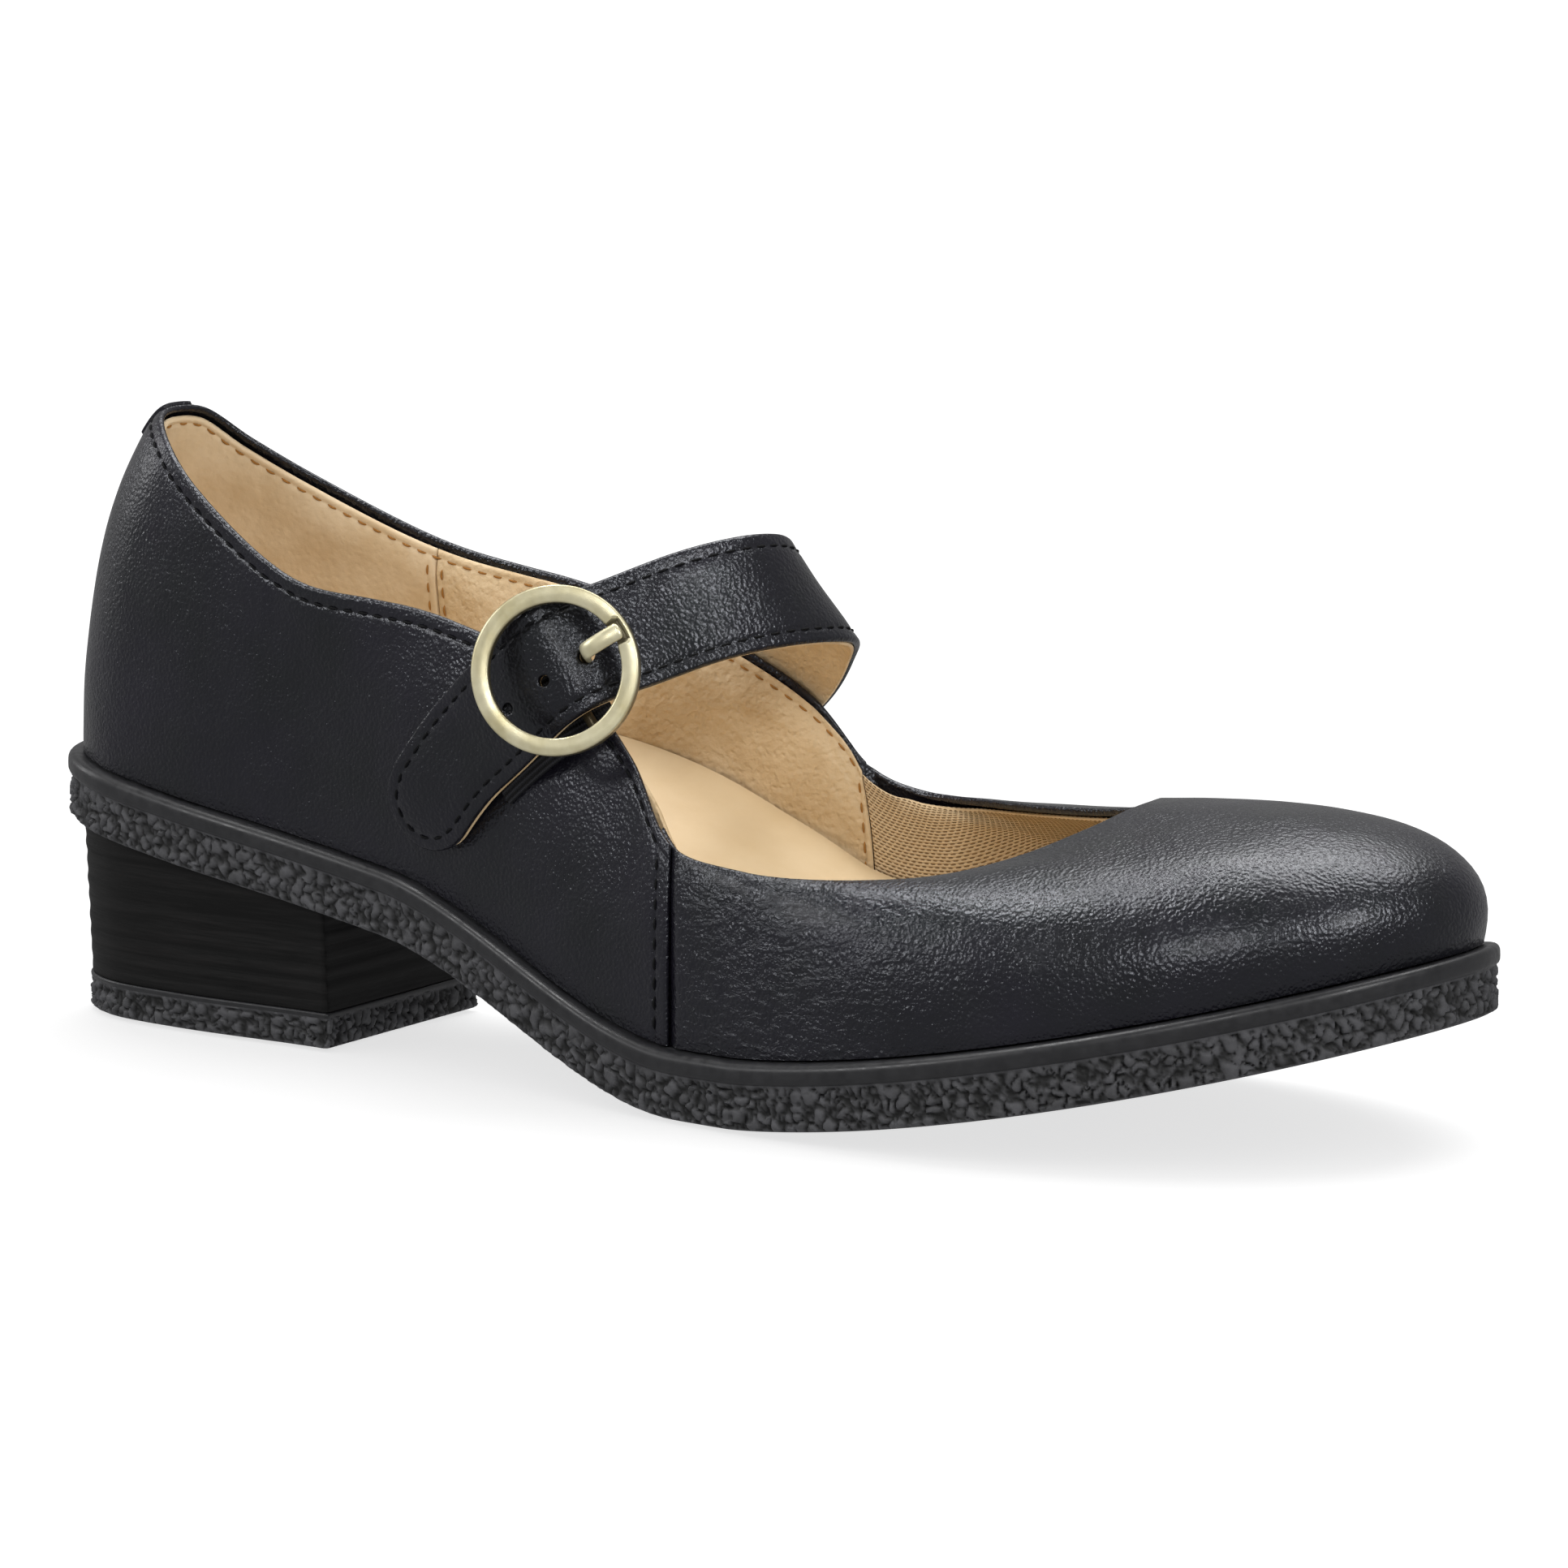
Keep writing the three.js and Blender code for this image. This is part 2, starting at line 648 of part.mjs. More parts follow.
// ---------------------------------------------------------------- strap, buckle and elastic
const STRAP_STACK = STRAP_LEATHER + GAP + STRAP_LINING;
const ROOT_STAND = 3 * GAP + STRAP_STACK;
const TAIL_STAND = 2.4 * GAP + ELASTIC_THICKNESS + GAP + STRAP_STACK;
const EYE_RADIUS = BAR_RADIUS + EYE_SLACK + EYE_WALL;
const BAR_STAND = TAIL_STAND + 2 * EYE_RADIUS + 4.5 * GAP;
const INNER_ROOT_RIB = 24.35;
const OUTER_ROOT_RIB = 7;
const innerRoot = under(INNER_ROOT_RIB, 0.97, -ROOT_STAND);
const outerRoot = under(OUTER_ROOT_RIB, 0.97, -BAR_STAND);

// A point of the bridge over the instep: share of the way from the inner to the outer root,
// then how far ahead of that line and above it.
function bridgePoint(share, ahead, above) {
  const point = innerRoot.clone().lerp(outerRoot, share);
  point.x += ahead;
  point.z += above;
  return point;
}

// Centre line of the strap's outer face, from its sewn end on the inner quarter to its tail,
// with the direction across the strap towards the heel at each point.
const SEAT = 6;                    // which of these points lies at the middle of the buckle
const STRAP_ROUTE = [
  [under(INNER_ROOT_RIB + 0.75, 0.55, -ROOT_STAND), [-0.84, -0.05, 0.54]],
  [innerRoot, [-0.84, -0.08, 0.53]],
  [bridgePoint(0.1, 11, 9.5), [-0.7, -0.16, 0.69]],
  [bridgePoint(0.26, 19, 14.3), [-0.54, -0.2, 0.82]],
  [bridgePoint(0.46, 19.5, 14.8), [-0.45, -0.12, 0.89]],
  [bridgePoint(0.7, 12, 10.6), [-0.5, -0.05, 0.86]],
  [bridgePoint(1, 1.2, -0.1), [-0.61, -0.03, 0.79]],
  [under(6.28, 0.52, -TAIL_STAND), [-0.84, 0.1, 0.53]],
  [under(5.9, 0.27, -ROOT_STAND - 0.7), [-0.91, 0.06, 0.41]],
  [under(5.58, 0.12, -ROOT_STAND), [-0.92, 0.05, 0.39]],
];
const strapLine = new THREE.CatmullRomCurve3(STRAP_ROUTE.map(([point]) => point), false, 'centripetal');
const strapAcross = new THREE.CatmullRomCurve3(
  STRAP_ROUTE.map(([, across]) => new THREE.Vector3(...across)),
);
const LAST_STOP = STRAP_ROUTE.length - 1;

// Position, direction, cross direction and outward normal of the strap at a stop of its route.
function strapFrame(stop) {
  const t = stop / LAST_STOP;
  const origin = strapLine.getPoint(t);
  const along = strapLine.getTangent(t).normalize();
  const across = strapAcross.getPoint(t);
  across.addScaledVector(along, -across.dot(along)).normalize();
  const outward = new THREE.Vector3().crossVectors(across, along).normalize();
  return { origin, along, across, outward };
}

const TAIL_ROUNDING = 0.75;        // stops over which the tail's end is rounded

function strapHalfWidth(stop) {
  const width = lerp(STRAP_WIDTH, STRAP_TAIL_WIDTH, THREE.MathUtils.smoothstep(stop, SEAT, LAST_STOP));
  const left = (LAST_STOP - stop) / TAIL_ROUNDING;
  const round = left < 1 ? Math.sqrt(1 - (1 - left) ** 2) : 1;
  return Math.max((width / 2) * round, 1);
}

function strapSection(stop, top, bottom, trim) {
  const { origin, across, outward } = strapFrame(stop);
  const half = strapHalfWidth(stop) - trim;
  const corner = (side, depth) => origin.clone()
    .addScaledVector(across, side * half)
    .addScaledVector(outward, -depth);
  return [corner(1, top), corner(-1, top), corner(-1, bottom), corner(1, bottom)];
}

const STRAP_STEPS = 44;

function strapPly(top, bottom, trim) {
  return loft(Array.from({ length: STRAP_STEPS + 1 }, (_, i) => {
    const share = i / STRAP_STEPS;
    const stop = LAST_STOP * (1 - (1 - share) ** 1.25);
    return strapSection(stop, top, bottom, trim);
  }));
}

// The buckle's own frame: x towards the instep, y across towards the heel, z outwards.
const seat = strapFrame(SEAT);
const seatMatrix = new THREE.Matrix4().makeBasis(
  seat.along.clone().negate(),
  seat.across,
  seat.outward,
).setPosition(seat.origin);
const onSeat = (geometry) => geometry.applyMatrix4(seatMatrix);

const RING_LIFT = GAP + 0.1;
const BAR_DEPTH = STRAP_STACK + GAP + EYE_RADIUS;
const RING_MIDDLE_RADIUS = RING_OUTER_RADIUS - RING_BAND / 2;

// A rod along the buckle's bar.
function crossRod(radius, length) {
  const rod = new THREE.CylinderGeometry(radius, radius, length, ROUND_SIDES);
  return rod.translate(0, 0, -BAR_DEPTH);
}

function makeBuckleFrame() {
  const inner = RING_OUTER_RADIUS - RING_BAND;
  const chamfer = 0.5;
  const top = RING_LIFT + RING_THICKNESS;
  const profile = [
    [inner + chamfer, RING_LIFT],
    [RING_OUTER_RADIUS - chamfer, RING_LIFT],
    [RING_OUTER_RADIUS, RING_LIFT + chamfer],
    [RING_OUTER_RADIUS, top - chamfer],
    [RING_OUTER_RADIUS - chamfer, top],
    [inner + chamfer, top],
    [inner, top - chamfer],
    [inner, RING_LIFT + chamfer],
    [inner + chamfer, RING_LIFT],
  ].map(([radius, height]) => new THREE.Vector2(radius, height));
  const ring = new THREE.LatheGeometry(profile, 36);
  ring.rotateX(Math.PI / 2);
  const postSize = 2 * BAR_RADIUS;
  const bar = crossRod(BAR_RADIUS, 2 * RING_MIDDLE_RADIUS);
  const postHeight = RING_LIFT + RING_THICKNESS / 2 + BAR_DEPTH + BAR_RADIUS;
  const posts = [-1, 1].map((side) => {
    const post = new THREE.BoxGeometry(postSize, postSize, postHeight);
    post.translate(0, side * RING_MIDDLE_RADIUS, postHeight / 2 - BAR_DEPTH - BAR_RADIUS);
    return post;
  });
  const notch = new THREE.BoxGeometry(RING_BAND * 2, PRONG_WIDTH + 2 * GAP, 1.2);
  notch.translate(RING_MIDDLE_RADIUS, 0, top);
  const frame = join(toGeometry(toSolid(ring)), [bar, ...posts]);
  return onSeat(cut(frame, [notch]));
}

const PRONG_HOLE_X = 5.2;

// The prong's eye turns on the bar; the prong passes up through the strap's hole and lies in the
// notch of the ring.
function makeProng() {
  const half = PRONG_WIDTH / 2;
  const tip = RING_OUTER_RADIUS - 0.6;
  const rest = RING_LIFT + RING_THICKNESS - 0.3;
  const low = -BAR_DEPTH - PRONG_THICKNESS / 2;
  const high = low + PRONG_THICKNESS;
  const root = EYE_RADIUS - EYE_WALL / 2;
  const near = PRONG_HOLE_X - 0.8;
  const far = PRONG_HOLE_X + 0.8;
  const route = [
    [root, low, root, high],
    [near, low, near, high],
    [far, low + 1, near, high + 0.8],
    [far, rest - 0.6, near, rest + 0.6],
    [far + 0.7, rest, far, rest + 1.5],
    [tip, rest, tip, rest + PRONG_THICKNESS],
  ];
  const shaft = loft(route.map(([x1, z1, x2, z2]) => [
    new THREE.Vector3(x1, -half, z1),
    new THREE.Vector3(x1, half, z1),
    new THREE.Vector3(x2, half, z2),
    new THREE.Vector3(x2, -half, z2),
  ]));
  const eye = cut(crossRod(EYE_RADIUS, PRONG_WIDTH), [crossRod(BAR_RADIUS + EYE_SLACK, 3 * PRONG_WIDTH)]);
  return onSeat(join(shaft, [eye]));
}

const holeXs = [0, 1, 2].map((i) => PRONG_HOLE_X - i * HOLE_PITCH);

function strapHoles() {
  return holeXs.map((x) => {
    const hole = new THREE.CylinderGeometry(HOLE_RADIUS, HOLE_RADIUS, 12, ROUND_SIDES);
    hole.rotateX(Math.PI / 2);
    hole.translate(x, 0, -STRAP_STACK);
    return onSeat(hole);
  });
}

// Elastic strip from the buckle's bar down between strap and quarter, slotted for the prong's eye.
function makeElastic() {
  const thick = ELASTIC_THICKNESS;
  const half = ELASTIC_WIDTH / 2;
  const atBar = BAR_DEPTH + BAR_RADIUS + GAP;
  const start = new THREE.Vector3(EYE_RADIUS, 0, -atBar).applyMatrix4(seatMatrix);
  const steps = 10;
  const strip = loft(Array.from({ length: steps + 1 }, (_, i) => {
    const frame = strapFrame(lerp(SEAT, SEAT + 1.1, i / steps));
    const settled = THREE.MathUtils.smoothstep(i / steps, 0.12, 0.5);
    const depth = lerp(atBar, STRAP_STACK + GAP, settled);
    const centre = i === 0 ? start : frame.origin.addScaledVector(frame.outward, -depth);
    const corner = (side, extra) => centre.clone()
      .addScaledVector(frame.across, side * half)
      .addScaledVector(frame.outward, -extra);
    return [corner(1, 0), corner(-1, 0), corner(-1, thick), corner(1, thick)];
  }));
  const slot = new THREE.BoxGeometry(2 * EYE_RADIUS, PRONG_WIDTH + 2 * GAP, 2 * EYE_RADIUS);
  slot.translate(GAP, 0, -BAR_DEPTH);
  return cut(strip, [onSeat(slot)]);
}

// ---------------------------------------------------------------- assembly
const look = (color, roughness, metalness = 0) => (
  new THREE.MeshStandardMaterial({ color, roughness, metalness })
);
const blackLeather = look(0x17181c, 0.45);
const blackStack = look(0x121212, 0.75);
const blackRubber = look(0x1c1d1f, 0.8);
const tanLeather = look(0xc79a63, 0.7);
const tanKnit = look(0xcaa473, 0.9);
const paleTan = look(0xd9b583, 0.75);
const boardGrey = look(0x8f8676, 0.9);
const foamGrey = look(0x55565a, 0.95);
const cork = look(0x9a7448, 0.95);
const steel = look(0x9b9ea3, 0.35, 1);
const brass = look(0xb9a77a, 0.35, 1);
const elasticBlack = look(0x17161a, 0.9);
const stiffWhite = look(0xd8d4ca, 0.85);

const shoe = new THREE.Group();

function add(name, geometry, material) {
  const mesh = new THREE.Mesh(geometry, material);
  mesh.name = name;
  shoe.add(mesh);
}

add('outsole', cut(makeOutsole(), heelFixings), blackRubber);
add('heel_wrap', makeHeelWrap(), blackStack);
add('heel_core', cut(makeHeelCore(), heelFixings), foamGrey);
add('heel_toplift', makeTopLift(), blackRubber);
add('heel_screw', screw(0), steel);
nailPlaces.forEach((place, i) => add(`heel_nail_${i + 1}`, nail(place, 0), steel));
add('shank', cut(makeShank(), rivetBores), steel);
rivetXs.forEach((x, i) => add(`shank_rivet_${i + 1}`, rivet(x, 0), steel));
add('bottom_filler', makeFiller(), cork);
add('insole_board', cut(makeBoard(), [...heelFixings, ...rivetBores]), boardGrey);
add('footbed_foam', makeFoam(), foamGrey);
add('footbed_cover', makeCover(), paleTan);
add('vamp', makeVamp(), blackLeather);
add('quarter_lateral', makeQuarter(0, OUTER_SEAM), blackLeather);
add('quarter_medial', makeQuarter(INNER_SEAM, RIB_COUNT), blackLeather);
add('back_stay', makeBackStay(), blackLeather);
add('heel_counter', makeStiffener(RIB_COUNT - COUNTER_REACH, RIB_COUNT + COUNTER_REACH, 0.75), stiffWhite);
add('toe_puff', makeStiffener(PUFF_START, PUFF_END, 0.5), stiffWhite);
add('vamp_lining', makeLining(OUTER_SEAM, INNER_SEAM), tanKnit);
add('quarter_lining_lateral', makeLining(HEEL_LINING_FRONT, OUTER_SEAM), tanLeather);
add('quarter_lining_medial', makeLining(INNER_SEAM, HEEL_LINING_BACK), tanLeather);
add('heel_lining', makeLining(HEEL_LINING_BACK, RIB_COUNT + HEEL_LINING_FRONT), tanLeather);
add('strap_outer', cut(strapPly(0, STRAP_LEATHER, 0), strapHoles()), blackLeather);
add('strap_lining', cut(strapPly(STRAP_LEATHER + GAP, STRAP_STACK, 0.3), strapHoles()), tanLeather);
add('buckle_frame', makeBuckleFrame(), brass);
add('buckle_prong', makeProng(), brass);
add('buckle_elastic', makeElastic(), elasticBlack);

// The origin lies on the ground under the middle of the whole shoe.
const box = new THREE.Box3().setFromObject(shoe);
shoe.position.set(-(box.min.x + box.max.x) / 2, -(box.min.y + box.max.y) / 2, 0);

export default shoe;
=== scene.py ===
"""Looks of the black Mary Jane: camera, light, materials, and the detailed pieces over the frame.

The pattern below is the one that the CAD source draws. It is in millimetres in the shoe's own
frame: x from the back of the sole to the toe, y towards the inner side, z up from the ground.
"""

import math

import bmesh
import bpy
import numpy as np
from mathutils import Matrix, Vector, noise


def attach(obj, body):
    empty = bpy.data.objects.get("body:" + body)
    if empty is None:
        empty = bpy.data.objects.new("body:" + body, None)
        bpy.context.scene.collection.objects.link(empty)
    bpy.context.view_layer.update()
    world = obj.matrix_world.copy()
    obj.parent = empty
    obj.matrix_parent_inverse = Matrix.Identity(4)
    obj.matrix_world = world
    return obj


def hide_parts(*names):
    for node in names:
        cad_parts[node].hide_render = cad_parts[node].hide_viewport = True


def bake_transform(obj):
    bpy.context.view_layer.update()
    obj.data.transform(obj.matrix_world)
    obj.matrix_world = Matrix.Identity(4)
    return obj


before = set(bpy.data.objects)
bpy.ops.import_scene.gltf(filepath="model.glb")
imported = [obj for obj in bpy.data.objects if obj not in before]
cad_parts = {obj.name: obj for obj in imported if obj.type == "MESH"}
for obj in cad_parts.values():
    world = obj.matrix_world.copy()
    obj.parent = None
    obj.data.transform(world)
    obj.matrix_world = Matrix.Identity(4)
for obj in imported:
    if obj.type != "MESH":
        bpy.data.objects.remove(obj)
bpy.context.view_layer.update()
scene = bpy.context.scene

# ------------------------------------------------------------------ sizes, as in the CAD source
MM = 0.001
ROW_SHIFT = np.array([-133.75, 2.3948, 0.0])  # from the shoe's own frame to the row's
SOLE_LENGTH = 268
SEAT_HEIGHT = 34.6
SEAT_PITCH = 0.163
TOE_SPRING = 21
TOE_CURVE = 1.4
ARCH_START_X = 80
BALL_BACK_X = 148
BALL_FRONT_X = 158
SOLE_THICKNESS = 11
LIP_HEIGHT = 3.4
FEATHER_INSET = 2.6
HEEL_BREAST_X = 65.6
HEEL_INSET = 2.8
HEEL_TAPER = 1
LIFT_HEIGHT = 6.2
LEATHER = 1.3
LINING = 1
GAP = 0.3
BOARD_TOP = 3.9
FOOTBED_TOP = 15.5
ARCH_RISE = 11
ARCH_CENTRE_RIB = 24.7
ARCH_SPREAD = 1.8
FOOTBED_DISH = 1.6
FOOTBED_FIT = 0.5
STRAP_WIDTH = 19.4
STRAP_TAIL_WIDTH = 17
STRAP_STACK = 2.2
RING_OUTER_RADIUS = 13.9
RING_BAND = 2.9
RING_THICKNESS = 2.2
RING_LIFT = 0.4
BAR_RADIUS = 0.9
EYE_RADIUS = 1.75
BAR_DEPTH = STRAP_STACK + GAP + EYE_RADIUS
PRONG_HOLE_X = 5.2
HOLE_PITCH = 8
ELASTIC_THICKNESS = 0.9

# Sole edge x y, topline x y, topline height above the sole, fullness, swell.
RIBS = np.array([
    [0, 0, 19, 0, 62, 1.5, 1.5],
    [3.5, -11.5, 20.6, -6, 61.4, 1.5, 1.5],
    [14, -19.9, 27.7, -14, 58.3, 1.45, 1.5],
    [32, -24.1, 36.9, -19, 53.2, 1.4, 1.5],
    [60, -26.3, 59.4, -24, 43.8, 1.35, 1.5],
    [78, -28.6, 77, -25.2, 44.4, 1.3, 1.5],
    [95, -32.1, 94, -26, 46.2, 1.3, 1.5],
    [120, -38, 119, -28, 48.5, 1.3, 1.2],
    [132, -41, 131.5, -31.5, 42.8, 1.3, 1],
    [144, -43.8, 142.8, -37.5, 32.4, 1.35, 1],
    [165, -47, 158, -38.5, 29.6, 1.6, 1],
    [190, -48.2, 176, -35.5, 27.8, 1.8, 1.2],
    [213, -45.2, 188, -29.5, 27.1, 2.1, 1.6],
    [236, -36.7, 197, -21, 28.1, 2.5, 1.8],
    [254, -24, 204, -11, 30.4, 2.9, 2],
    [265, -8, 207, -1, 32.2, 3.1, 2.1],
    [267.5, 5, 207.3, 4.5, 32.5, 3.1, 2.1],
    [264, 17, 206, 10, 32.4, 3, 2.1],
    [252, 29, 200, 16, 31, 2.7, 2],
    [235, 37.5, 190, 20, 30.8, 2.3, 1.8],
    [212, 42.5, 177.4, 22.5, 31.8, 2, 1.6],
    [186, 43, 163, 27, 32.7, 1.8, 1.2],
    [158, 36.5, 150, 30, 33.2, 1.5, 1],
    [142, 32.3, 139.4, 30.5, 36.1, 1.35, 1],
    [130, 29.5, 130, 27.5, 45.3, 1.3, 1],
    [112, 27.2, 110, 25.5, 47.9, 1.3, 1],
    [90, 26, 89.8, 24.5, 44.9, 1.3, 1],
    [75, 26, 74.5, 23.9, 44.5, 1.3, 1.2],
    [60, 26.5, 59, 23, 45.5, 1.35, 1.5],
    [32, 26.5, 36.1, 19.5, 51.4, 1.4, 1.5],
    [14, 23, 26, 13.5, 56.6, 1.45, 1.5],
    [3.5, 14.5, 20.6, 7, 61.4, 1.5, 1.5],
])
RIB_COUNT = len(RIBS)
OUTER_SEAM = 9
INNER_SEAM = 23
HEEL_LINING_FRONT = 4
HEEL_LINING_BACK = 28

# ------------------------------------------------------------------ camera, light and floor
CAMERA_TARGET = Vector((0.00786, 0.00239, 0.04835))
CAMERA_AZIMUTH = math.radians(31.328)
CAMERA_ELEVATION = math.radians(8.804)
CAMERA_DISTANCE = 1.2
CAMERA_LENS = 167.37


def make_camera():
    data = bpy.data.cameras.new("camera")
    data.lens = CAMERA_LENS
    data.sensor_width = 36
    data.clip_start = 0.05
    data.clip_end = 60
    camera = bpy.data.objects.new("camera", data)
    scene.collection.objects.link(camera)
    flat = math.cos(CAMERA_ELEVATION)
    back = Vector((
        math.sin(CAMERA_AZIMUTH) * flat,
        -math.cos(CAMERA_AZIMUTH) * flat,
        math.sin(CAMERA_ELEVATION),
    ))
    camera.location = CAMERA_TARGET + back * CAMERA_DISTANCE
    camera.rotation_euler = (-back).to_track_quat("-Z", "Y").to_euler()
    scene.camera = camera


def soft_light(name, place, size, power, floor):
    """A rectangular soft light that faces the shoe and leaves the floor as it is."""
    data = bpy.data.lights.new(name, "AREA")
    data.shape = "RECTANGLE"
    data.size = size[0]
    data.size_y = size[1]
    data.energy = power
    light = bpy.data.objects.new(name, data)
    scene.collection.objects.link(light)
    light.location = place
    light.rotation_euler = (CAMERA_TARGET - Vector(place)).to_track_quat("-Z", "Y").to_euler()
    left_out = bpy.data.collections.new(name + "_left_out")
    left_out.objects.link(floor)
    light.light_linking.receiver_collection = left_out
    left_out.collection_objects[0].light_linking.link_state = "EXCLUDE"


def make_sky_light(strength):
    """One wide soft light from above and a little behind, even over the whole floor."""
    data = bpy.data.lights.new("sky", "SUN")
    data.energy = strength
    data.angle = math.radians(50)
    light = bpy.data.objects.new("sky", data)
    scene.collection.objects.link(light)
    light.rotation_euler = Vector((-0.1, 0.45, 0.88)).to_track_quat("Z", "Y").to_euler()


def make_world(strength):
    world = bpy.data.worlds.new("studio")
    world.use_nodes = True
    background = world.node_tree.nodes["Background"]
    background.inputs["Color"].default_value = (1, 1, 1, 1)
    background.inputs["Strength"].default_value = strength
    scene.world = world


# ------------------------------------------------------------------ materials
def linear(code):
    """A hex sRGB colour as a linear RGBA."""
    values = [int(code[i:i + 2], 16) / 255 for i in (0, 2, 4)]
    return [v / 12.92 if v < 0.04045 else ((v + 0.055) / 1.055) ** 2.4 for v in values] + [1]


class Finish:
    """A node material: one Principled shader with textures placed by the object's own space."""

    def __init__(self, name, colour, roughness, **sockets):
        self.material = bpy.data.materials.new(name)
        self.material.use_nodes = True
        self.nodes = self.material.node_tree.nodes
        self.links = self.material.node_tree.links
        self.shader = self.nodes["Principled BSDF"]
        self.shader.inputs["Base Color"].default_value = linear(colour)
        self.shader.inputs["Roughness"].default_value = roughness
        for socket, value in sockets.items():
            self.shader.inputs[socket.replace("_", " ")].default_value = value
        self.place = self.nodes.new("ShaderNodeTexCoord").outputs["Object"]
        self.normal = None

    def give(self, socket, value):
        if isinstance(value, bpy.types.NodeSocket):
            self.links.new(value, socket)
        elif value is not None:
            socket.default_value = value

    def noise(self, size, detail=3, roughness=0.55, distortion=0, stretch=None):
        """Noise with features of about that size in millimetres."""
        node = self.nodes.new("ShaderNodeTexNoise")
        node.inputs["Scale"].default_value = 1 / (size * MM)
        node.inputs["Detail"].default_value = detail
        node.inputs["Roughness"].default_value = roughness
        node.inputs["Distortion"].default_value = distortion
        self.give(node.inputs["Vector"], self.stretched(stretch))
        return node.outputs["Fac"]

    def cells(self, size, warp):
        """Distance within rounded cells of about that size in millimetres, bent by warp."""
        bend = self.nodes.new("ShaderNodeTexNoise")
        bend.inputs["Scale"].default_value = 0.5 / (size * MM)
        self.give(bend.inputs["Vector"], self.place)
        scaled = self.nodes.new("ShaderNodeVectorMath")
        scaled.operation = "MULTIPLY_ADD"
        self.give(scaled.inputs[0], bend.outputs["Color"])
        scaled.inputs[1].default_value = (warp * size * MM,) * 3
        self.give(scaled.inputs[2], self.place)
        node = self.nodes.new("ShaderNodeTexVoronoi")
        node.feature = "SMOOTH_F1"
        node.inputs["Scale"].default_value = 1 / (size * MM)
        self.give(node.inputs["Vector"], scaled.outputs[0])
        return node.outputs["Distance"]

    def stretched(self, stretch):
        if stretch is None:
            return self.place
        node = self.nodes.new("ShaderNodeVectorMath")
        node.operation = "MULTIPLY"
        self.give(node.inputs[0], self.place)
        node.inputs[1].default_value = stretch
        return node.outputs[0]

    def attribute(self, name, kind="Fac"):
        node = self.nodes.new("ShaderNodeAttribute")
        node.attribute_name = name
        return node.outputs[kind]

    def math(self, operation, first, second=None):
        node = self.nodes.new("ShaderNodeMath")
        node.operation = operation
        for socket, value in zip(node.inputs, (first, second)):
            self.give(socket, value)
        return node.outputs[0]

    def spread(self, value, low, high, to_low=0.0, to_high=1.0):
        """value from low..high taken to to_low..to_high."""
        node = self.nodes.new("ShaderNodeMapRange")
        for socket, number in zip(node.inputs, (value, low, high, to_low, to_high)):
            self.give(socket, number)
        return node.outputs[0]

    def mix(self, factor, first, second):
        """A colour between two, which are hex codes or sockets."""
        node = self.nodes.new("ShaderNodeMix")
        node.data_type = "RGBA"
        self.give(node.inputs["Factor"], factor)
        for socket, colour in ((node.inputs[6], first), (node.inputs[7], second)):
            self.give(socket, linear(colour) if isinstance(colour, str) else colour)
        return node.outputs[2]

    def patches(self, size, detail, first, second, low=0.35, high=0.7):
        """A colour that wanders between two in patches of about that size."""
        return self.mix(self.spread(self.noise(size, detail=detail), low, high), first, second)

    def weave_map(self):
        """Two coordinates over the piece in millimetres, from its attribute weave."""
        split = self.nodes.new("ShaderNodeSeparateXYZ")
        self.give(split.inputs[0], self.attribute("weave", "Vector"))
        return split.outputs["X"], split.outputs["Y"]

    def colour(self, value):
        self.give(self.shader.inputs["Base Color"], value)

    def roughness(self, value):
        self.give(self.shader.inputs["Roughness"], value)

    def uneven_roughness(self, size, low, high, detail=3):
        self.roughness(self.spread(self.noise(size, detail=detail), 0.3, 0.7, low, high))

    def bump(self, height, depth):
        """Adds relief: depth in millimetres for a height of 0 to 1."""
        node = self.nodes.new("ShaderNodeBump")
        node.inputs["Strength"].default_value = 1
        node.inputs["Distance"].default_value = depth * MM
        self.give(node.inputs["Height"], height)
        self.give(node.inputs["Normal"], self.normal)
        self.normal = node.outputs["Normal"]
        self.give(self.shader.inputs["Normal"], self.normal)


def black_leather():
    """Black leather, creased where the attribute flex says so."""
    finish = Finish("black_leather", "0d0d10", 0.36, Specular_IOR_Level=0.45, Coat_Weight=0.06)
    finish.shader.inputs["Coat Roughness"].default_value = 0.2
    finish.shader.inputs["Specular Tint"].default_value = (0.9, 0.93, 1, 1)
    finish.colour(finish.patches(26, 4, "0c0d0f", "131119"))
    finish.uneven_roughness(9, 0.2, 0.31, detail=5)
    finish.bump(finish.noise(9, detail=2), 0.24)
    flex = finish.attribute("flex")
    creases = finish.noise(1.7, detail=4, distortion=0.8, stretch=(0.55, 0.8, 1))
    finish.bump(finish.math("MULTIPLY", creases, flex), 0.65)
    finish.bump(finish.noise(2.4, detail=3, stretch=(1, 1, 0.45)), 0.015)
    finish.bump(finish.cells(0.58, warp=0.9), 0.15)
    finish.bump(finish.noise(0.4, detail=3), 0.05)
    return finish.material


def tan_leather(name, light, dark, grain):
    """Tan lining leather with a grain of that depth in millimetres."""
    finish = Finish(name, light, 0.55, Specular_IOR_Level=0.35)
    finish.colour(finish.patches(14, 5, light, dark, high=0.68))
    finish.uneven_roughness(6, 0.48, 0.64)
    finish.bump(finish.noise(5, detail=2), 0.1)
    finish.bump(finish.cells(1.15, warp=1.2), grain)
    finish.bump(finish.noise(0.45, detail=3), grain * 0.35)
    return finish.material


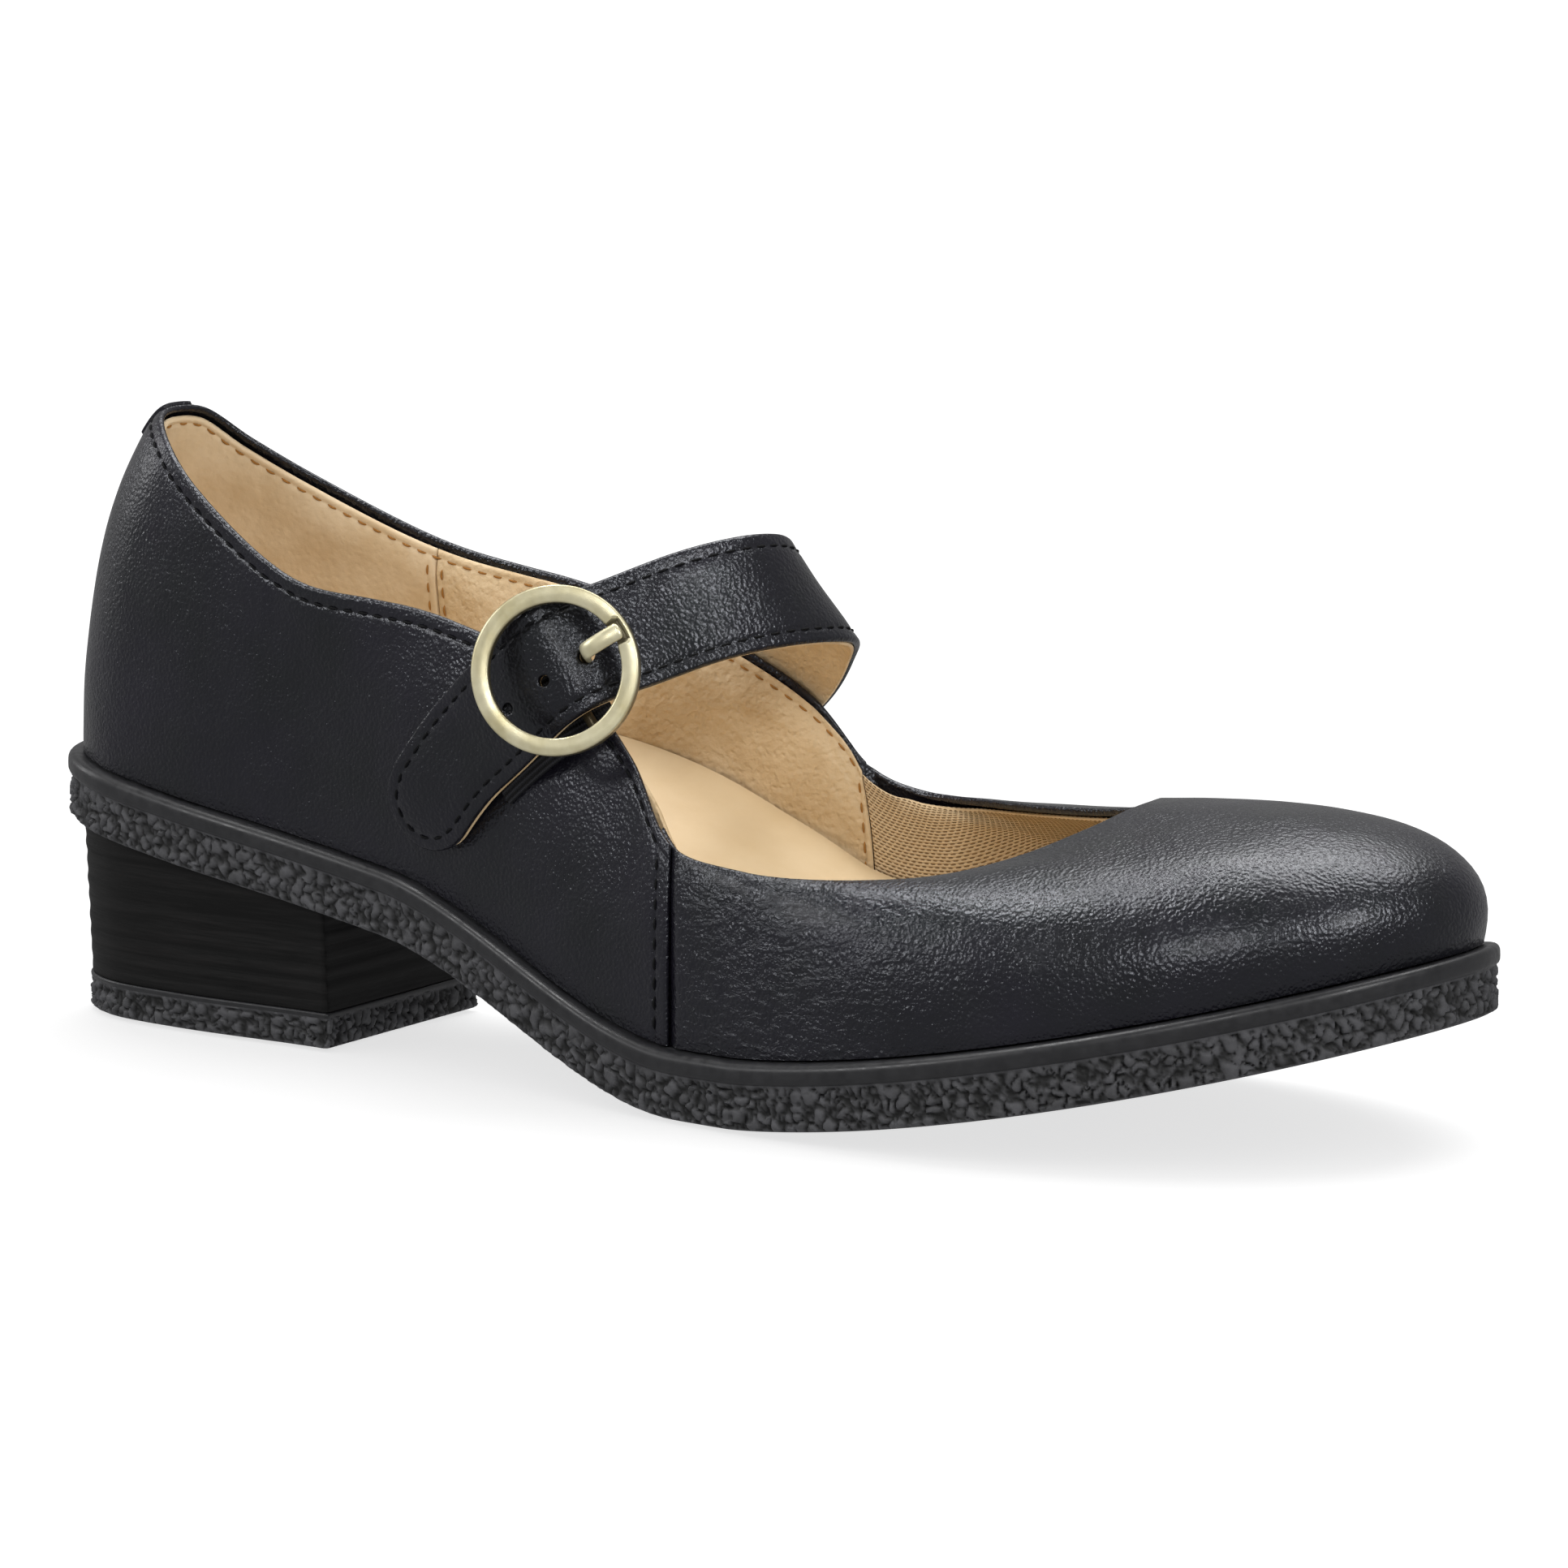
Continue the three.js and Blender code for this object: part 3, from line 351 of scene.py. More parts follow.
def mesh_lining():
    """Knitted mesh: staggered dark pits between tan yarns, laid out along the pattern map."""
    finish = Finish("mesh_lining", "d8b98f", 0.85, Specular_IOR_Level=0.2)
    x, y = finish.weave_map()
    row_height, pitch = 0.62, 0.95
    line = finish.math("DIVIDE", y, row_height)
    row = finish.math("FLOOR", line)
    shift = finish.math("MULTIPLY", finish.math("MODULO", row, 2.0), 0.5)
    column = finish.math("ADD", finish.math("DIVIDE", x, pitch), shift)
    across = finish.math("SUBTRACT", finish.math("FRACT", column), 0.5)
    up = finish.math("SUBTRACT", finish.math("FRACT", line), 0.5)
    wide = finish.math("POWER", finish.math("MULTIPLY", across, 3.3), 2.0)
    tall = finish.math("POWER", finish.math("MULTIPLY", up, 5.6), 2.0)
    pit = finish.spread(finish.math("ADD", wide, tall), 0.5, 1.5, 1.0, 0.0)
    yarn = finish.mix(finish.noise(0.8), "cbb491", "b79a73")
    finish.colour(finish.mix(pit, yarn, "92714b"))
    finish.bump(finish.math("MULTIPLY", pit, -1.0), 0.25)
    finish.bump(finish.math("ABSOLUTE", up), 0.2)
    finish.bump(finish.noise(0.25, detail=3), 0.05)
    return finish.material


def rubber(name, light, dark, roughness, grain):
    """Black rubber, with painted shade darkening the crevices that the attribute relief marks."""
    finish = Finish(name, light, roughness, Specular_IOR_Level=0.4)
    # Painted shade: near black in the crevices, the rubber's own tone on the raised lumps.
    raised = finish.spread(finish.attribute("relief"), -0.55, 0.02)
    finish.colour(finish.mix(raised, "070707", finish.patches(3, 5, dark, light)))
    finish.uneven_roughness(1.5, roughness - 0.08, roughness + 0.1)
    finish.bump(finish.noise(0.9, detail=5, roughness=0.65), grain)
    finish.bump(finish.noise(0.22, detail=2), grain * 0.3)
    return finish.material


def stacked_leather():
    """Blackened stacked leather: thin level layers with streaks along them."""
    finish = Finish("stacked_heel", "0d0d0e", 0.55, Specular_IOR_Level=0.16)
    layers = finish.noise(1.7, detail=2, stretch=(0.015, 0.015, 1))
    streaks = finish.noise(0.5, detail=5, roughness=0.7, stretch=(0.05, 0.05, 1))
    tone = finish.math("MULTIPLY", layers, streaks)
    finish.colour(finish.mix(finish.spread(tone, 0.2, 0.42), "090909", "191818"))
    finish.roughness(finish.spread(streaks, 0.3, 0.7, 0.45, 0.7))
    finish.bump(layers, 0.18)
    finish.bump(streaks, 0.06)
    return finish.material


def antique_brass():
    """Brushed antique brass, with painted shade from the pieces' shade attribute: darker on the ring's
    sides, underside and notch, on the bar and on the prong's lower part.
    """
    finish = Finish("antique_brass", "e0d8b0", 0.36, Metallic=0.7)
    # Painted shade: the shade mask takes the brass towards a dark shade colour.
    shade_mask = finish.math("MULTIPLY", finish.attribute("patina"), 0.85)
    finish.colour(finish.mix(shade_mask, finish.patches(5, 4, "d9d2b2", "c0b68e"), "4b4230"))
    finish.uneven_roughness(1.2, 0.3, 0.42, detail=5)
    finish.bump(finish.noise(0.5, detail=3), 0.002)
    finish.bump(finish.noise(2.6, detail=3), 0.012)
    return finish.material


def elastic_web():
    """Black woven elastic: ribs across its length, laid out along the pattern map."""
    finish = Finish("elastic", "151518", 0.8, Specular_IOR_Level=0.25)
    x, y = finish.weave_map()
    rib_pitch, yarn_pitch = 0.95, 0.5
    ribs = finish.math("SINE", finish.math("MULTIPLY", x, 2 * math.pi / rib_pitch))
    yarns = finish.math("SINE", finish.math("MULTIPLY", y, 2 * math.pi / yarn_pitch))
    finish.colour(finish.mix(finish.spread(ribs, -1, 1), "0e0e10", "232327"))
    finish.bump(ribs, 0.12)
    finish.bump(yarns, 0.05)
    return finish.material


def thread(name, light, dark):
    finish = Finish(name, light, 0.7, Specular_IOR_Level=0.12)
    finish.colour(finish.mix(finish.noise(0.6), dark, light))
    finish.bump(finish.noise(0.2, detail=2, stretch=(1, 1, 2)), 0.04)
    return finish.material


def plain(name, light, dark, roughness, grain, metallic=0):
    """A finish for pieces inside the shoe."""
    finish = Finish(name, light, roughness, Metallic=metallic)
    finish.colour(finish.mix(finish.noise(2.5, detail=5), dark, light))
    finish.bump(finish.noise(0.6, detail=4), grain)
    return finish.material


BLACK = black_leather()
TAN_GRAINED = tan_leather("tan_leather_grained", "cdb590", "b89c73", 0.34)
TAN_SMOOTH = tan_leather("tan_leather_smooth", "d6c2a2", "c4ab86", 0.1)
FOOTBED_LEATHER = tan_leather("footbed_leather", "cfb893", "c6ad86", 0.025)
MESH = mesh_lining()
CREPE = rubber("crepe_rubber", "47474a", "343436", 0.6, 0.12)
SMOOTH_RUBBER = rubber("smooth_rubber", "242426", "1c1c1e", 0.36, 0.02)
STACKED = stacked_leather()
BRASS = antique_brass()
ELASTIC = elastic_web()
BLACK_THREAD = thread("black_thread", "0d0d0f", "060607")
TAN_THREAD = thread("tan_thread", "a9783f", "7d5527")


# ------------------------------------------------------------------ curves and surfaces
class Curve:
    """A centripetal Catmull-Rom curve. Places along it count its points."""

    def __init__(self, points, closed=False):
        self.points = np.array(points, float)
        self.closed = closed
        self.last = len(self.points) - (0 if closed else 1)

    def knot(self, i):
        if self.closed:
            return self.points[i % len(self.points)]
        before = 2 * self.points[0] - self.points[1]
        after = 2 * self.points[-1] - self.points[-2]
        inside = self.points[np.clip(i, 0, self.last)]
        return np.where(i[..., None] < 0, before, np.where(i[..., None] > self.last, after, inside))

    def at(self, place):
        place = np.asarray(place, float)
        place = np.mod(place, self.last) if self.closed else np.clip(place, 0, self.last)
        low = np.minimum(np.floor(place).astype(int), self.last - 1)
        w = (place - low)[..., None]
        p0, p1, p2, p3 = (self.knot(low + k) for k in (-1, 0, 1, 2))
        d0, d1, d2 = (
            np.linalg.norm(b - a, axis=-1, keepdims=True) ** 0.5
            for a, b in ((p0, p1), (p1, p2), (p2, p3))
        )
        m1 = ((p1 - p0) / d0 - (p2 - p0) / (d0 + d1) + (p2 - p1) / d1) * d1
        m2 = ((p2 - p1) / d1 - (p3 - p1) / (d1 + d2) + (p3 - p2) / d2) * d1
        square = 3 * (p2 - p1) - 2 * m1 - m2
        cube = 2 * (p1 - p2) + m1 + m2
        return p1 + m1 * w + square * w**2 + cube * w**3

    def tangent(self, place):
        step = 0.003
        return unit(self.at(np.asarray(place) + step) - self.at(np.asarray(place) - step))


def unit(vectors):
    return vectors / np.maximum(np.linalg.norm(vectors, axis=-1, keepdims=True), 1e-12)


def smoothstep(value, low, high):
    t = np.clip((np.asarray(value, float) - low) / (high - low), 0, 1)
    return t * t * (3 - 2 * t)


def lerp(a, b, share):
    return a + (b - a) * share


def run_along(path):
    """Length along a path from its start to each of its points."""
    return np.concatenate([[0], np.cumsum(np.linalg.norm(np.diff(path, axis=0), axis=1))])


def sole_bottom(x):
    x = np.asarray(x, float)
    seat = SEAT_HEIGHT - SEAT_PITCH * x
    span = BALL_BACK_X - ARCH_START_X
    t = (x - ARCH_START_X) / span
    start = SEAT_HEIGHT - SEAT_PITCH * ARCH_START_X
    arch = start * (1 - 3 * t**2 + 2 * t**3) - SEAT_PITCH * span * (t - 2 * t**2 + t**3)
    ahead = np.maximum(x - BALL_FRONT_X, 0) / (SOLE_LENGTH - BALL_FRONT_X)
    toe = TOE_SPRING * ahead**TOE_CURVE
    return np.where(x < ARCH_START_X, seat, np.where(x < BALL_BACK_X, arch, toe))


def sole_top(x):
    return sole_bottom(x) + SOLE_THICKNESS


SOLE_EDGE = Curve(np.column_stack([RIBS[:, 0], RIBS[:, 1], np.zeros(RIB_COUNT)]), closed=True)
TOPLINE = Curve(RIBS[:, 2:5], closed=True)


def edge_point(rib, inset):
    """The sole edge at a rib, moved inwards, at z = 0."""
    point = SOLE_EDGE.at(rib)
    tangent = SOLE_EDGE.tangent(rib)
    inset = np.asarray(inset, float)
    point[..., 0] -= inset * tangent[..., 1]
    point[..., 1] += inset * tangent[..., 0]
    return point


def per_rib(column, rib):
    low = np.floor(rib).astype(int)
    values = RIBS[:, column]
    share = smoothstep(rib - low, 0, 1)
    return lerp(values[low % RIB_COUNT], values[(low + 1) % RIB_COUNT], share)


def skin(rib, rise):
    """Outer face of the upper: rib round the shoe, rise 0 at the sole to 1 at the topline."""
    rib, rise = np.broadcast_arrays(np.asarray(rib, float), np.asarray(rise, float))
    foot = edge_point(rib, FEATHER_INSET)
    foot[..., 2] = sole_top(foot[..., 0]) + GAP
    edge = TOPLINE.at(rib)
    edge[..., 2] += sole_top(edge[..., 0])
    fullness = per_rib(5, rib)
    angle = rise * math.pi / 2
    c, s = np.cos(angle), np.sin(angle)
    radius = (np.abs(c)**fullness + np.abs(s)**fullness)**(-1 / fullness)
    inward = edge - foot
    climb = inward[..., 2].copy()
    inward[..., 2] = 0
    point = foot + inward * (1 - radius * c)[..., None]
    bump = per_rib(6, rib) * np.sin(2 * angle)
    point -= unit(inward) * (bump * c)[..., None]
    point[..., 2] += radius * s * climb + bump * s
    return point


def skin_normal(rib, rise):
    step = 0.02
    low = np.maximum(rise - step, 0.001)
    high = np.minimum(rise + step, 1)
    up = skin(rib, high) - skin(rib, low)
    around = skin(rib + step, rise) - skin(rib - step, rise)
    return unit(np.cross(around, up))


def under(rib, rise, depth):
    """A point at a depth under the outer face; a negative depth stands off it."""
    rib, rise, depth = np.broadcast_arrays(
        np.asarray(rib, float), np.asarray(rise, float), np.asarray(depth, float))
    return skin(rib, rise) - skin_normal(rib, rise) * depth[..., None]


RISE_TABLE = np.linspace(1, 0, 161)


def rises_below(ribs, distances):
    """For each rib, the rises at distances (mm) down the skin from the topline, one row per rib."""
    path = skin(ribs[:, None], RISE_TABLE[None, :])
    steps = np.linalg.norm(np.diff(path, axis=1), axis=-1)
    down = np.concatenate([np.zeros((len(ribs), 1)), np.cumsum(steps, axis=1)], axis=1)
    return np.array([np.interp(row, along, RISE_TABLE) for row, along in zip(distances, down)])


def rise_at(rib, distance):
    """The rise at a distance (mm) down the skin from the topline at one rib."""
    return rises_below(np.array([rib]), np.array([[distance]]))[0, 0]


def skin_grid(ribs, close_rows, length, even_rows):
    """Rises, and distances down from the topline, for a grid over ribs: close rows near the
    topline, then even ones down to a length. The lowest row comes first."""
    last = close_rows[-1]
    even = last + (length - last)[:, None] * np.linspace(0, 1, even_rows + 1)[None, 1:]
    near = np.broadcast_to(close_rows, (len(ribs), len(close_rows)))
    down = np.concatenate([near, even], axis=1)
    return rises_below(ribs, down)[:, ::-1], down[:, ::-1]


def girth(ribs):
    """Length of the skin from the topline to the sole at each rib."""
    path = skin(ribs[:, None], RISE_TABLE[None, :])
    return np.linalg.norm(np.diff(path, axis=1), axis=-1).sum(axis=1)


# ------------------------------------------------------------------ mesh tools
def wander(points, size, seed):
    """Smooth noise from about -1 to 1 with features of that size, at each point."""
    flat = (points.reshape(-1, 3) / size + seed).tolist()
    return np.array([noise.noise(Vector(p)) for p in flat]).reshape(points.shape[:-1])


def groove(distance, half_width=0.4):
    return np.exp(-(distance / half_width)**2)


def rounded(distance, radius):
    """Depth lost towards an edge that is rounded with that radius."""
    near = np.clip(radius - distance, 0, radius)
    return radius - np.sqrt(radius**2 - near**2)


def ring_quads(rows, size, looped=False):
    """Point numbers of rings that follow one another, and the quads between them."""
    index = np.arange(rows * size).reshape(rows, size)
    ahead = np.roll(index, -1, axis=1)
    far, far_ahead = np.roll(index, -1, axis=0), np.roll(ahead, -1, axis=0)
    faces = np.stack([index, ahead, far_ahead, far], axis=-1)
    if not looped:
        faces = faces[:-1]
    return index, faces.reshape(-1, 4).tolist()


def loft(rings):
    """Quads over rings of equal length. A ring is a face and then its back, and each open end is
    closed by a strip from face to back."""
    rows, size = rings.shape[:2]
    index, faces = ring_quads(rows, size)
    half = np.arange(size // 2 - 1)
    for row in (0, rows - 1):
        a, b = index[row, half], index[row, half + 1]
        c, d = index[row, size - 2 - half], index[row, size - 1 - half]
        faces += np.stack([a, b, c, d], axis=-1).tolist()
    return rings.reshape(-1, 3), faces


def loft_capped(rings):
    """Quads over closed rings, with a flat face over each open end."""
    index, faces = ring_quads(*rings.shape[:2])
    return rings.reshape(-1, 3), faces + [index[0].tolist(), index[-1].tolist()]


def two_sided(face, back):
    """A closed layer between a grid of points and the grid behind it."""
    return loft(np.concatenate([face, back[:, ::-1]], axis=1))


def on_both_sides(values):
    """Values at the points of a face, repeated for its back in the order of two_sided."""
    return np.concatenate([values, values[:, ::-1]], axis=1).reshape(-1, values.shape[-1])


class Piece:
    """Collects points and faces in millimetres, with a material for each part added."""

    def __init__(self, name):
        self.name = name
        self.points = []
        self.faces = []
        self.slots = []
        self.materials = []
        self.numbers = {}
        self.count = 0

    def add(self, points, faces, material, **numbers):
        if material not in self.materials:
            self.materials.append(material)
        self.slots += [self.materials.index(material)] * len(faces)
        self.faces += [[i + self.count for i in face] for face in faces]
        self.points.append(np.asarray(points, float).reshape(-1, 3))
        for key, values in numbers.items():
            self.numbers.setdefault(key, []).append((self.count, np.asarray(values, float)))
        self.count += len(self.points[-1])
        return self

    def build(self, sharp=40):
        mesh = bpy.data.meshes.new(self.name)
        placed = (np.concatenate(self.points) + ROW_SHIFT) * MM
        mesh.from_pydata(placed.tolist(), [], self.faces)
        for material in self.materials:
            mesh.materials.append(material)
        mesh.polygons.foreach_set("material_index", self.slots)
        mesh.polygons.foreach_set("use_smooth", [True] * len(self.faces))
        for key, parts in self.numbers.items():
            self.store(mesh, key, parts)
        turned = bmesh.new()
        turned.from_mesh(mesh)
        bmesh.ops.recalc_face_normals(turned, faces=turned.faces)
        turned.to_mesh(mesh)
        turned.free()
        mesh.set_sharp_from_angle(angle=math.radians(sharp))
        obj = bpy.data.objects.new(self.name, mesh)
        scene.collection.objects.link(obj)
        return obj

    def store(self, mesh, key, parts):
        wide = parts[0][1].ndim > 1
        kind, field, width = ("FLOAT_VECTOR", "vector", 3) if wide else ("FLOAT", "value", 1)
        values = np.zeros((self.count, width))
        for start, part in parts:
            part = part.reshape(-1, width)
            values[start:start + len(part)] = part
        layer = mesh.attributes.new(key, kind, "POINT")
        layer.data.foreach_set(field, values.astype(np.float32).ravel())


def stitch_row(path, normals, pitch=3.1, length=2.3, radius=0.24, lift=0.12):
    """Sewn stitches along a path: each is a short thread that dips into the leather at its ends."""
    along = run_along(path)
    count = int(along[-1] // pitch)
    starts = (np.arange(count) + 0.5) * along[-1] / count - length / 2
    stations = np.linspace(0, 1, 6)
    spots = starts[:, None] + stations[None, :] * length

    def sample(values):
        return np.stack([np.interp(spots, along, values[:, k]) for k in range(3)], axis=-1)

    centre, normal = sample(path), unit(sample(normals))
    ahead = unit(np.gradient(centre, axis=1))
    side = unit(np.cross(ahead, normal))
    arch = np.sin(stations * math.pi)
    centre = centre + normal * ((lift + radius) * arch**0.6 - radius)[None, :, None]
    thin = (radius * (0.45 + 0.55 * np.sqrt(arch.clip(0, 1))))[None, :, None, None]
    turn = np.arange(6) * math.pi / 3
    circle = normal[:, :, None] * np.cos(turn)[:, None] + side[:, :, None] * np.sin(turn)[:, None]
    points = centre[:, :, None] + circle * thin
    ring = np.arange(6)
    base = (np.arange(count) * 36)[:, None, None] + (np.arange(5) * 6)[None, :, None]
    sides = np.stack([
        base + ring, base + (ring + 1) % 6, base + 6 + (ring + 1) % 6, base + 6 + ring,
    ], axis=-1).reshape(-1, 4).tolist()
    ends = [[i * 36 + k for k in range(6)] for i in range(count)]
    ends += [[i * 36 + 30 + k for k in range(6)] for i in range(count)]
    return points.reshape(-1, 3), sides + ends


def tube(path, radii, sides, up, flatten=(1.0, 1.0)):
    """A round rod along a path, with closed ends; flatten scales it along up and across."""
    path = np.asarray(path, float)
    ahead = unit(np.gradient(path, axis=0))
    side = unit(np.cross(ahead, np.broadcast_to(np.asarray(up, float), path.shape)))
    rise = np.cross(side, ahead)
    turn = np.arange(sides) * 2 * math.pi / sides
    radii = np.broadcast_to(radii, len(path))[:, None, None]
    ring = (rise[:, None] * np.cos(turn)[:, None] * flatten[0]
            + side[:, None] * np.sin(turn)[:, None] * flatten[1])
    return loft_capped(path[:, None] + ring * radii)


def piece_on(body, obj, slot, *nodes):
    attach(obj, body)
    finish_piece(obj, slot, *nodes)


def finish_piece(obj, slot, *nodes):
    if nodes:
        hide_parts(*nodes)


# ------------------------------------------------------------------ leather of the upper
TOP_STITCH = 2.7          # stitch rows inside the topline and inside the quarters' front edges
FRONT_STITCH = 3.3
TOP_ROLL = 0.72           # radius of the folded top edge
STITCH_DEPTH = 0.16       # how deep the thread's path lies in that dip
STITCH_GROOVE = 0.22      # depth of the leather's dip along a row of stitches
CLOSE_ROWS = np.array([TOP_ROLL, 1.0, 1.5, 2.0, 2.35, 2.55, 2.7, 2.85, 3.05, 3.4, 4.0, 5.0, 6.5])
EVEN_ROWS = 34
ROLL_STEPS = 8
TURN_IN = 3.0             # leather turned under at the sole
# Distances behind a quarter's front edge, close together at the fold and at the stitches.
FRONT_COLUMNS = np.array([0, 0.08, 0.2, 0.38, 0.6, 0.9, 1.4, 2, 2.5, 2.9, 3.15, 3.3, 3.45, 3.7, 4.2, 5])


def mm_per_rib(rib):
    """Length of one rib's step half way up the side."""
    ahead = skin(rib + 0.5, 0.6) - skin(rib - 0.5, 0.6)
    return float(np.linalg.norm(ahead))


def leather_part(ribs, sink, lead, stitched):
    """A leather shell over ribs. sink is its depth under the skin at each rib, and lead is how far
    (mm) each rib lies behind a folded front edge."""
    rest = girth(ribs) - 0.05
    rises, down = skin_grid(ribs, CLOSE_ROWS, rest, EVEN_ROWS)
    base = skin(ribs[:, None], rises)
    normal = skin_normal(ribs[:, None], rises)
    smoothed = smoothstep(down, 4, 14) * smoothstep(rest[:, None] - down, 0, 8)
    if stitched:
        ends = np.minimum(lead - 8, lead.max() - lead)
        smoothed = smoothed * smoothstep(ends, 0, 14)[:, None]
    base = eased(base, smoothed)
    normal = unit(eased(normal, smoothed))
    round_front = rounded(lead, LEATHER / 2)[:, None]
    depth = sink[:, None] + round_front
    if stitched:
        depth = depth + STITCH_GROOVE * groove(down - TOP_STITCH)
        below = smoothstep(down, TOP_STITCH - 0.3, TOP_STITCH + 0.3)
        depth = depth + STITCH_GROOVE * groove(lead - FRONT_STITCH)[:, None] * below
    swell = 0.3 * wander(base, 24, 3.1) + 0.1 * wander(base, 8, 7.7)
    swell = swell * smoothstep(down, 1, 8) * smoothstep(lead, 0, 6)[:, None]
    face = base - normal * (depth - swell)[..., None]
    back = base - normal * (sink[:, None] + LEATHER - round_front)[..., None]
    start = sink + round_front[:, 0]
    thickness = LEATHER - 2 * round_front[:, 0]
    roll = top_roll(base[:, -1], base[:, -2], normal[:, -1], start, thickness)
    flange = turned_in(ribs, sink, 0.05)
    flange_back = turned_in(ribs, sink + LEATHER, LEATHER)
    return loft(np.concatenate([flange, face, roll, back[:, ::-1], flange_back[:, ::-1]], axis=1))


def eased(grid, share, reach=11):
    """Rows of a grid averaged with their neighbours, by a share at each point."""
    kernel = np.exp(-(np.arange(-reach, reach + 1) / (reach / 1.8))**2)
    kernel /= kernel.sum()
    padded = np.pad(grid, ((reach, reach), (0, 0), (0, 0)), mode="edge")
    mean = sum(k * padded[i:i + len(grid)] for i, k in enumerate(kernel))
    return lerp(grid, mean, share[..., None])


def top_roll(top, below, normal, start, thickness):
    """Half round over the folded top edge, from the face to the back."""
    up = unit(top - below)
    up = unit(up - normal * np.sum(up * normal, axis=-1, keepdims=True))
    radius = np.maximum(thickness, 0.02) / 2
    centre = top - normal * (start + radius)[:, None]
    angles = np.linspace(0, math.pi, ROLL_STEPS + 2)[1:-1]
    return np.stack([
        centre + (normal * math.cos(a) * radius[:, None] + up * math.sin(a) * TOP_ROLL)
        for a in angles
    ], axis=1)


def turned_in(ribs, depth, lift):
    """Two points of leather turned in under the shoe at each rib, the innermost first."""
    rows = []
    for inset in (depth + TURN_IN, depth + 0.6):
        point = edge_point(ribs, FEATHER_INSET + inset)
        point[:, 2] = sole_top(point[:, 0]) + GAP + lift
        rows.append(point)
    return np.stack(rows, axis=1)


def flex_of(points):
    """How creased the leather is where the shoe bends behind the toes."""
    x, y = points[:, 0], points[:, 1]
    outer = np.exp(-((x - 168) / 26)**2 - ((y + 37) / 18)**2)
    inner = np.exp(-((x - 165) / 18)**2 - ((y - 36) / 14)**2)
    return np.clip(outer + 0.7 * inner, 0, 1)


SINK_SPAN = 2.4           # mm over which the vamp comes up in front of a quarter's edge
VAMP_TUCK = 4.0           # mm of vamp under each quarter
FAR = 50.0                # mm: the vamp has no folded front edge near it


def make_upper():
    outer_scale = mm_per_rib(OUTER_SEAM)
    inner_scale = mm_per_rib(INNER_SEAM)
    start = OUTER_SEAM - VAMP_TUCK / outer_scale
    end = INNER_SEAM + VAMP_TUCK / inner_scale
    ribs = np.unique(np.concatenate([
        np.linspace(start, OUTER_SEAM + 0.5, 30),
        np.linspace(OUTER_SEAM + 0.5, INNER_SEAM - 0.5, 330),
        np.linspace(INNER_SEAM - 0.5, end, 30),
    ]))
    ahead = np.minimum((ribs - OUTER_SEAM) * outer_scale, (INNER_SEAM - ribs) * inner_scale)
    sink = (LEATHER + 0.12) * (1 - smoothstep(ahead, -1.3, SINK_SPAN))
    lead = np.full(len(ribs), FAR)
    points, faces = leather_part(ribs, sink, lead, stitched=False)
    vamp = Piece("vamp_leather").add(points, faces, BLACK, flex=flex_of(points)).build()
    piece_on("shoe", vamp, "black_leather", "vamp")

    sides = (
        ("quarter_outer_leather", "quarter_lateral", 0, OUTER_SEAM, outer_scale),
        ("quarter_inner_leather", "quarter_medial", RIB_COUNT, INNER_SEAM, inner_scale),
    )
    for name, node, back, front, scale in sides:
        toward = 1 if front > back else -1
        leads = np.concatenate([FRONT_COLUMNS, np.linspace(6, abs(front - back) * scale, 230)])
        ribs = front - toward * leads / scale
        ribs = np.clip(ribs, min(front, back), max(front, back))
        ribs, keep = np.unique(ribs, return_index=True)
        points, faces = leather_part(ribs, np.zeros(len(ribs)), leads[keep], stitched=True)
        piece = Piece(name).add(points, faces, BLACK, flex=0.25 * flex_of(points)).build()
        piece_on("shoe", piece, "black_leather", node)


def seam_path(rib, low, high):
    """Points and normals up a rib from a rise to another."""
    rises = np.linspace(low, high, 90)
    ribs = np.full(len(rises), float(rib))
    return skin(ribs, rises), skin_normal(ribs, rises)


def below_top_path(start, end, distance, depth=0.0, inside=False):
    """Points and normals along the upper at a distance below the topline."""
    ribs = np.linspace(start, end, 500)
    rises = rises_below(ribs, np.full((len(ribs), 1), distance))[:, 0]
    normal = skin_normal(ribs, rises)
    depth = depth(rises, ribs) if callable(depth) else depth
    path = skin(ribs, rises) - normal * np.broadcast_to(depth, ribs.shape)[:, None]
    return path, -normal if inside else normal


def make_upper_stitches():
    outer = OUTER_SEAM - FRONT_STITCH / mm_per_rib(OUTER_SEAM)
    inner = INNER_SEAM + FRONT_STITCH / mm_per_rib(INNER_SEAM)
    piece = Piece("upper_stitching")
    for start, end in ((0.15, outer), (inner, RIB_COUNT - 0.15)):
        path, normal = below_top_path(start, end, TOP_STITCH, depth=STITCH_DEPTH)
        piece.add(*stitch_row(path, normal), BLACK_THREAD)
    for rib in (outer, inner):
        path, normal = seam_path(rib, 0.03, rise_at(rib, TOP_STITCH + 1.5))
        piece.add(*stitch_row(path - STITCH_DEPTH * normal, normal), BLACK_THREAD)
    piece_on("shoe", piece.build(), None)


# ------------------------------------------------------------------ linings
LINING_DEPTH = 3.2
EDGE_LINING_DEPTH = 1.5
LINING_ROWS = 44
LINING_TOP_STITCH = 1.4   # stitch rows inside the lining's top edge and beside its seams
LINING_SEAM_STITCH = 1.6
LINING_SEAM = 0.004       # half the gap between two linings, in ribs


def lining_depth(rise, rib):
    """Depth of the lining's outer face: close to the leather at the topline, deeper below it."""
    low = smoothstep(1 - rise, 0, 0.25)
    seam = np.minimum(np.abs(rib - OUTER_SEAM), np.abs(rib - INNER_SEAM))
    at_seam = 1 - smoothstep(seam, 0.5, 1)
    return lerp(EDGE_LINING_DEPTH, LINING_DEPTH, np.maximum(low, at_seam))


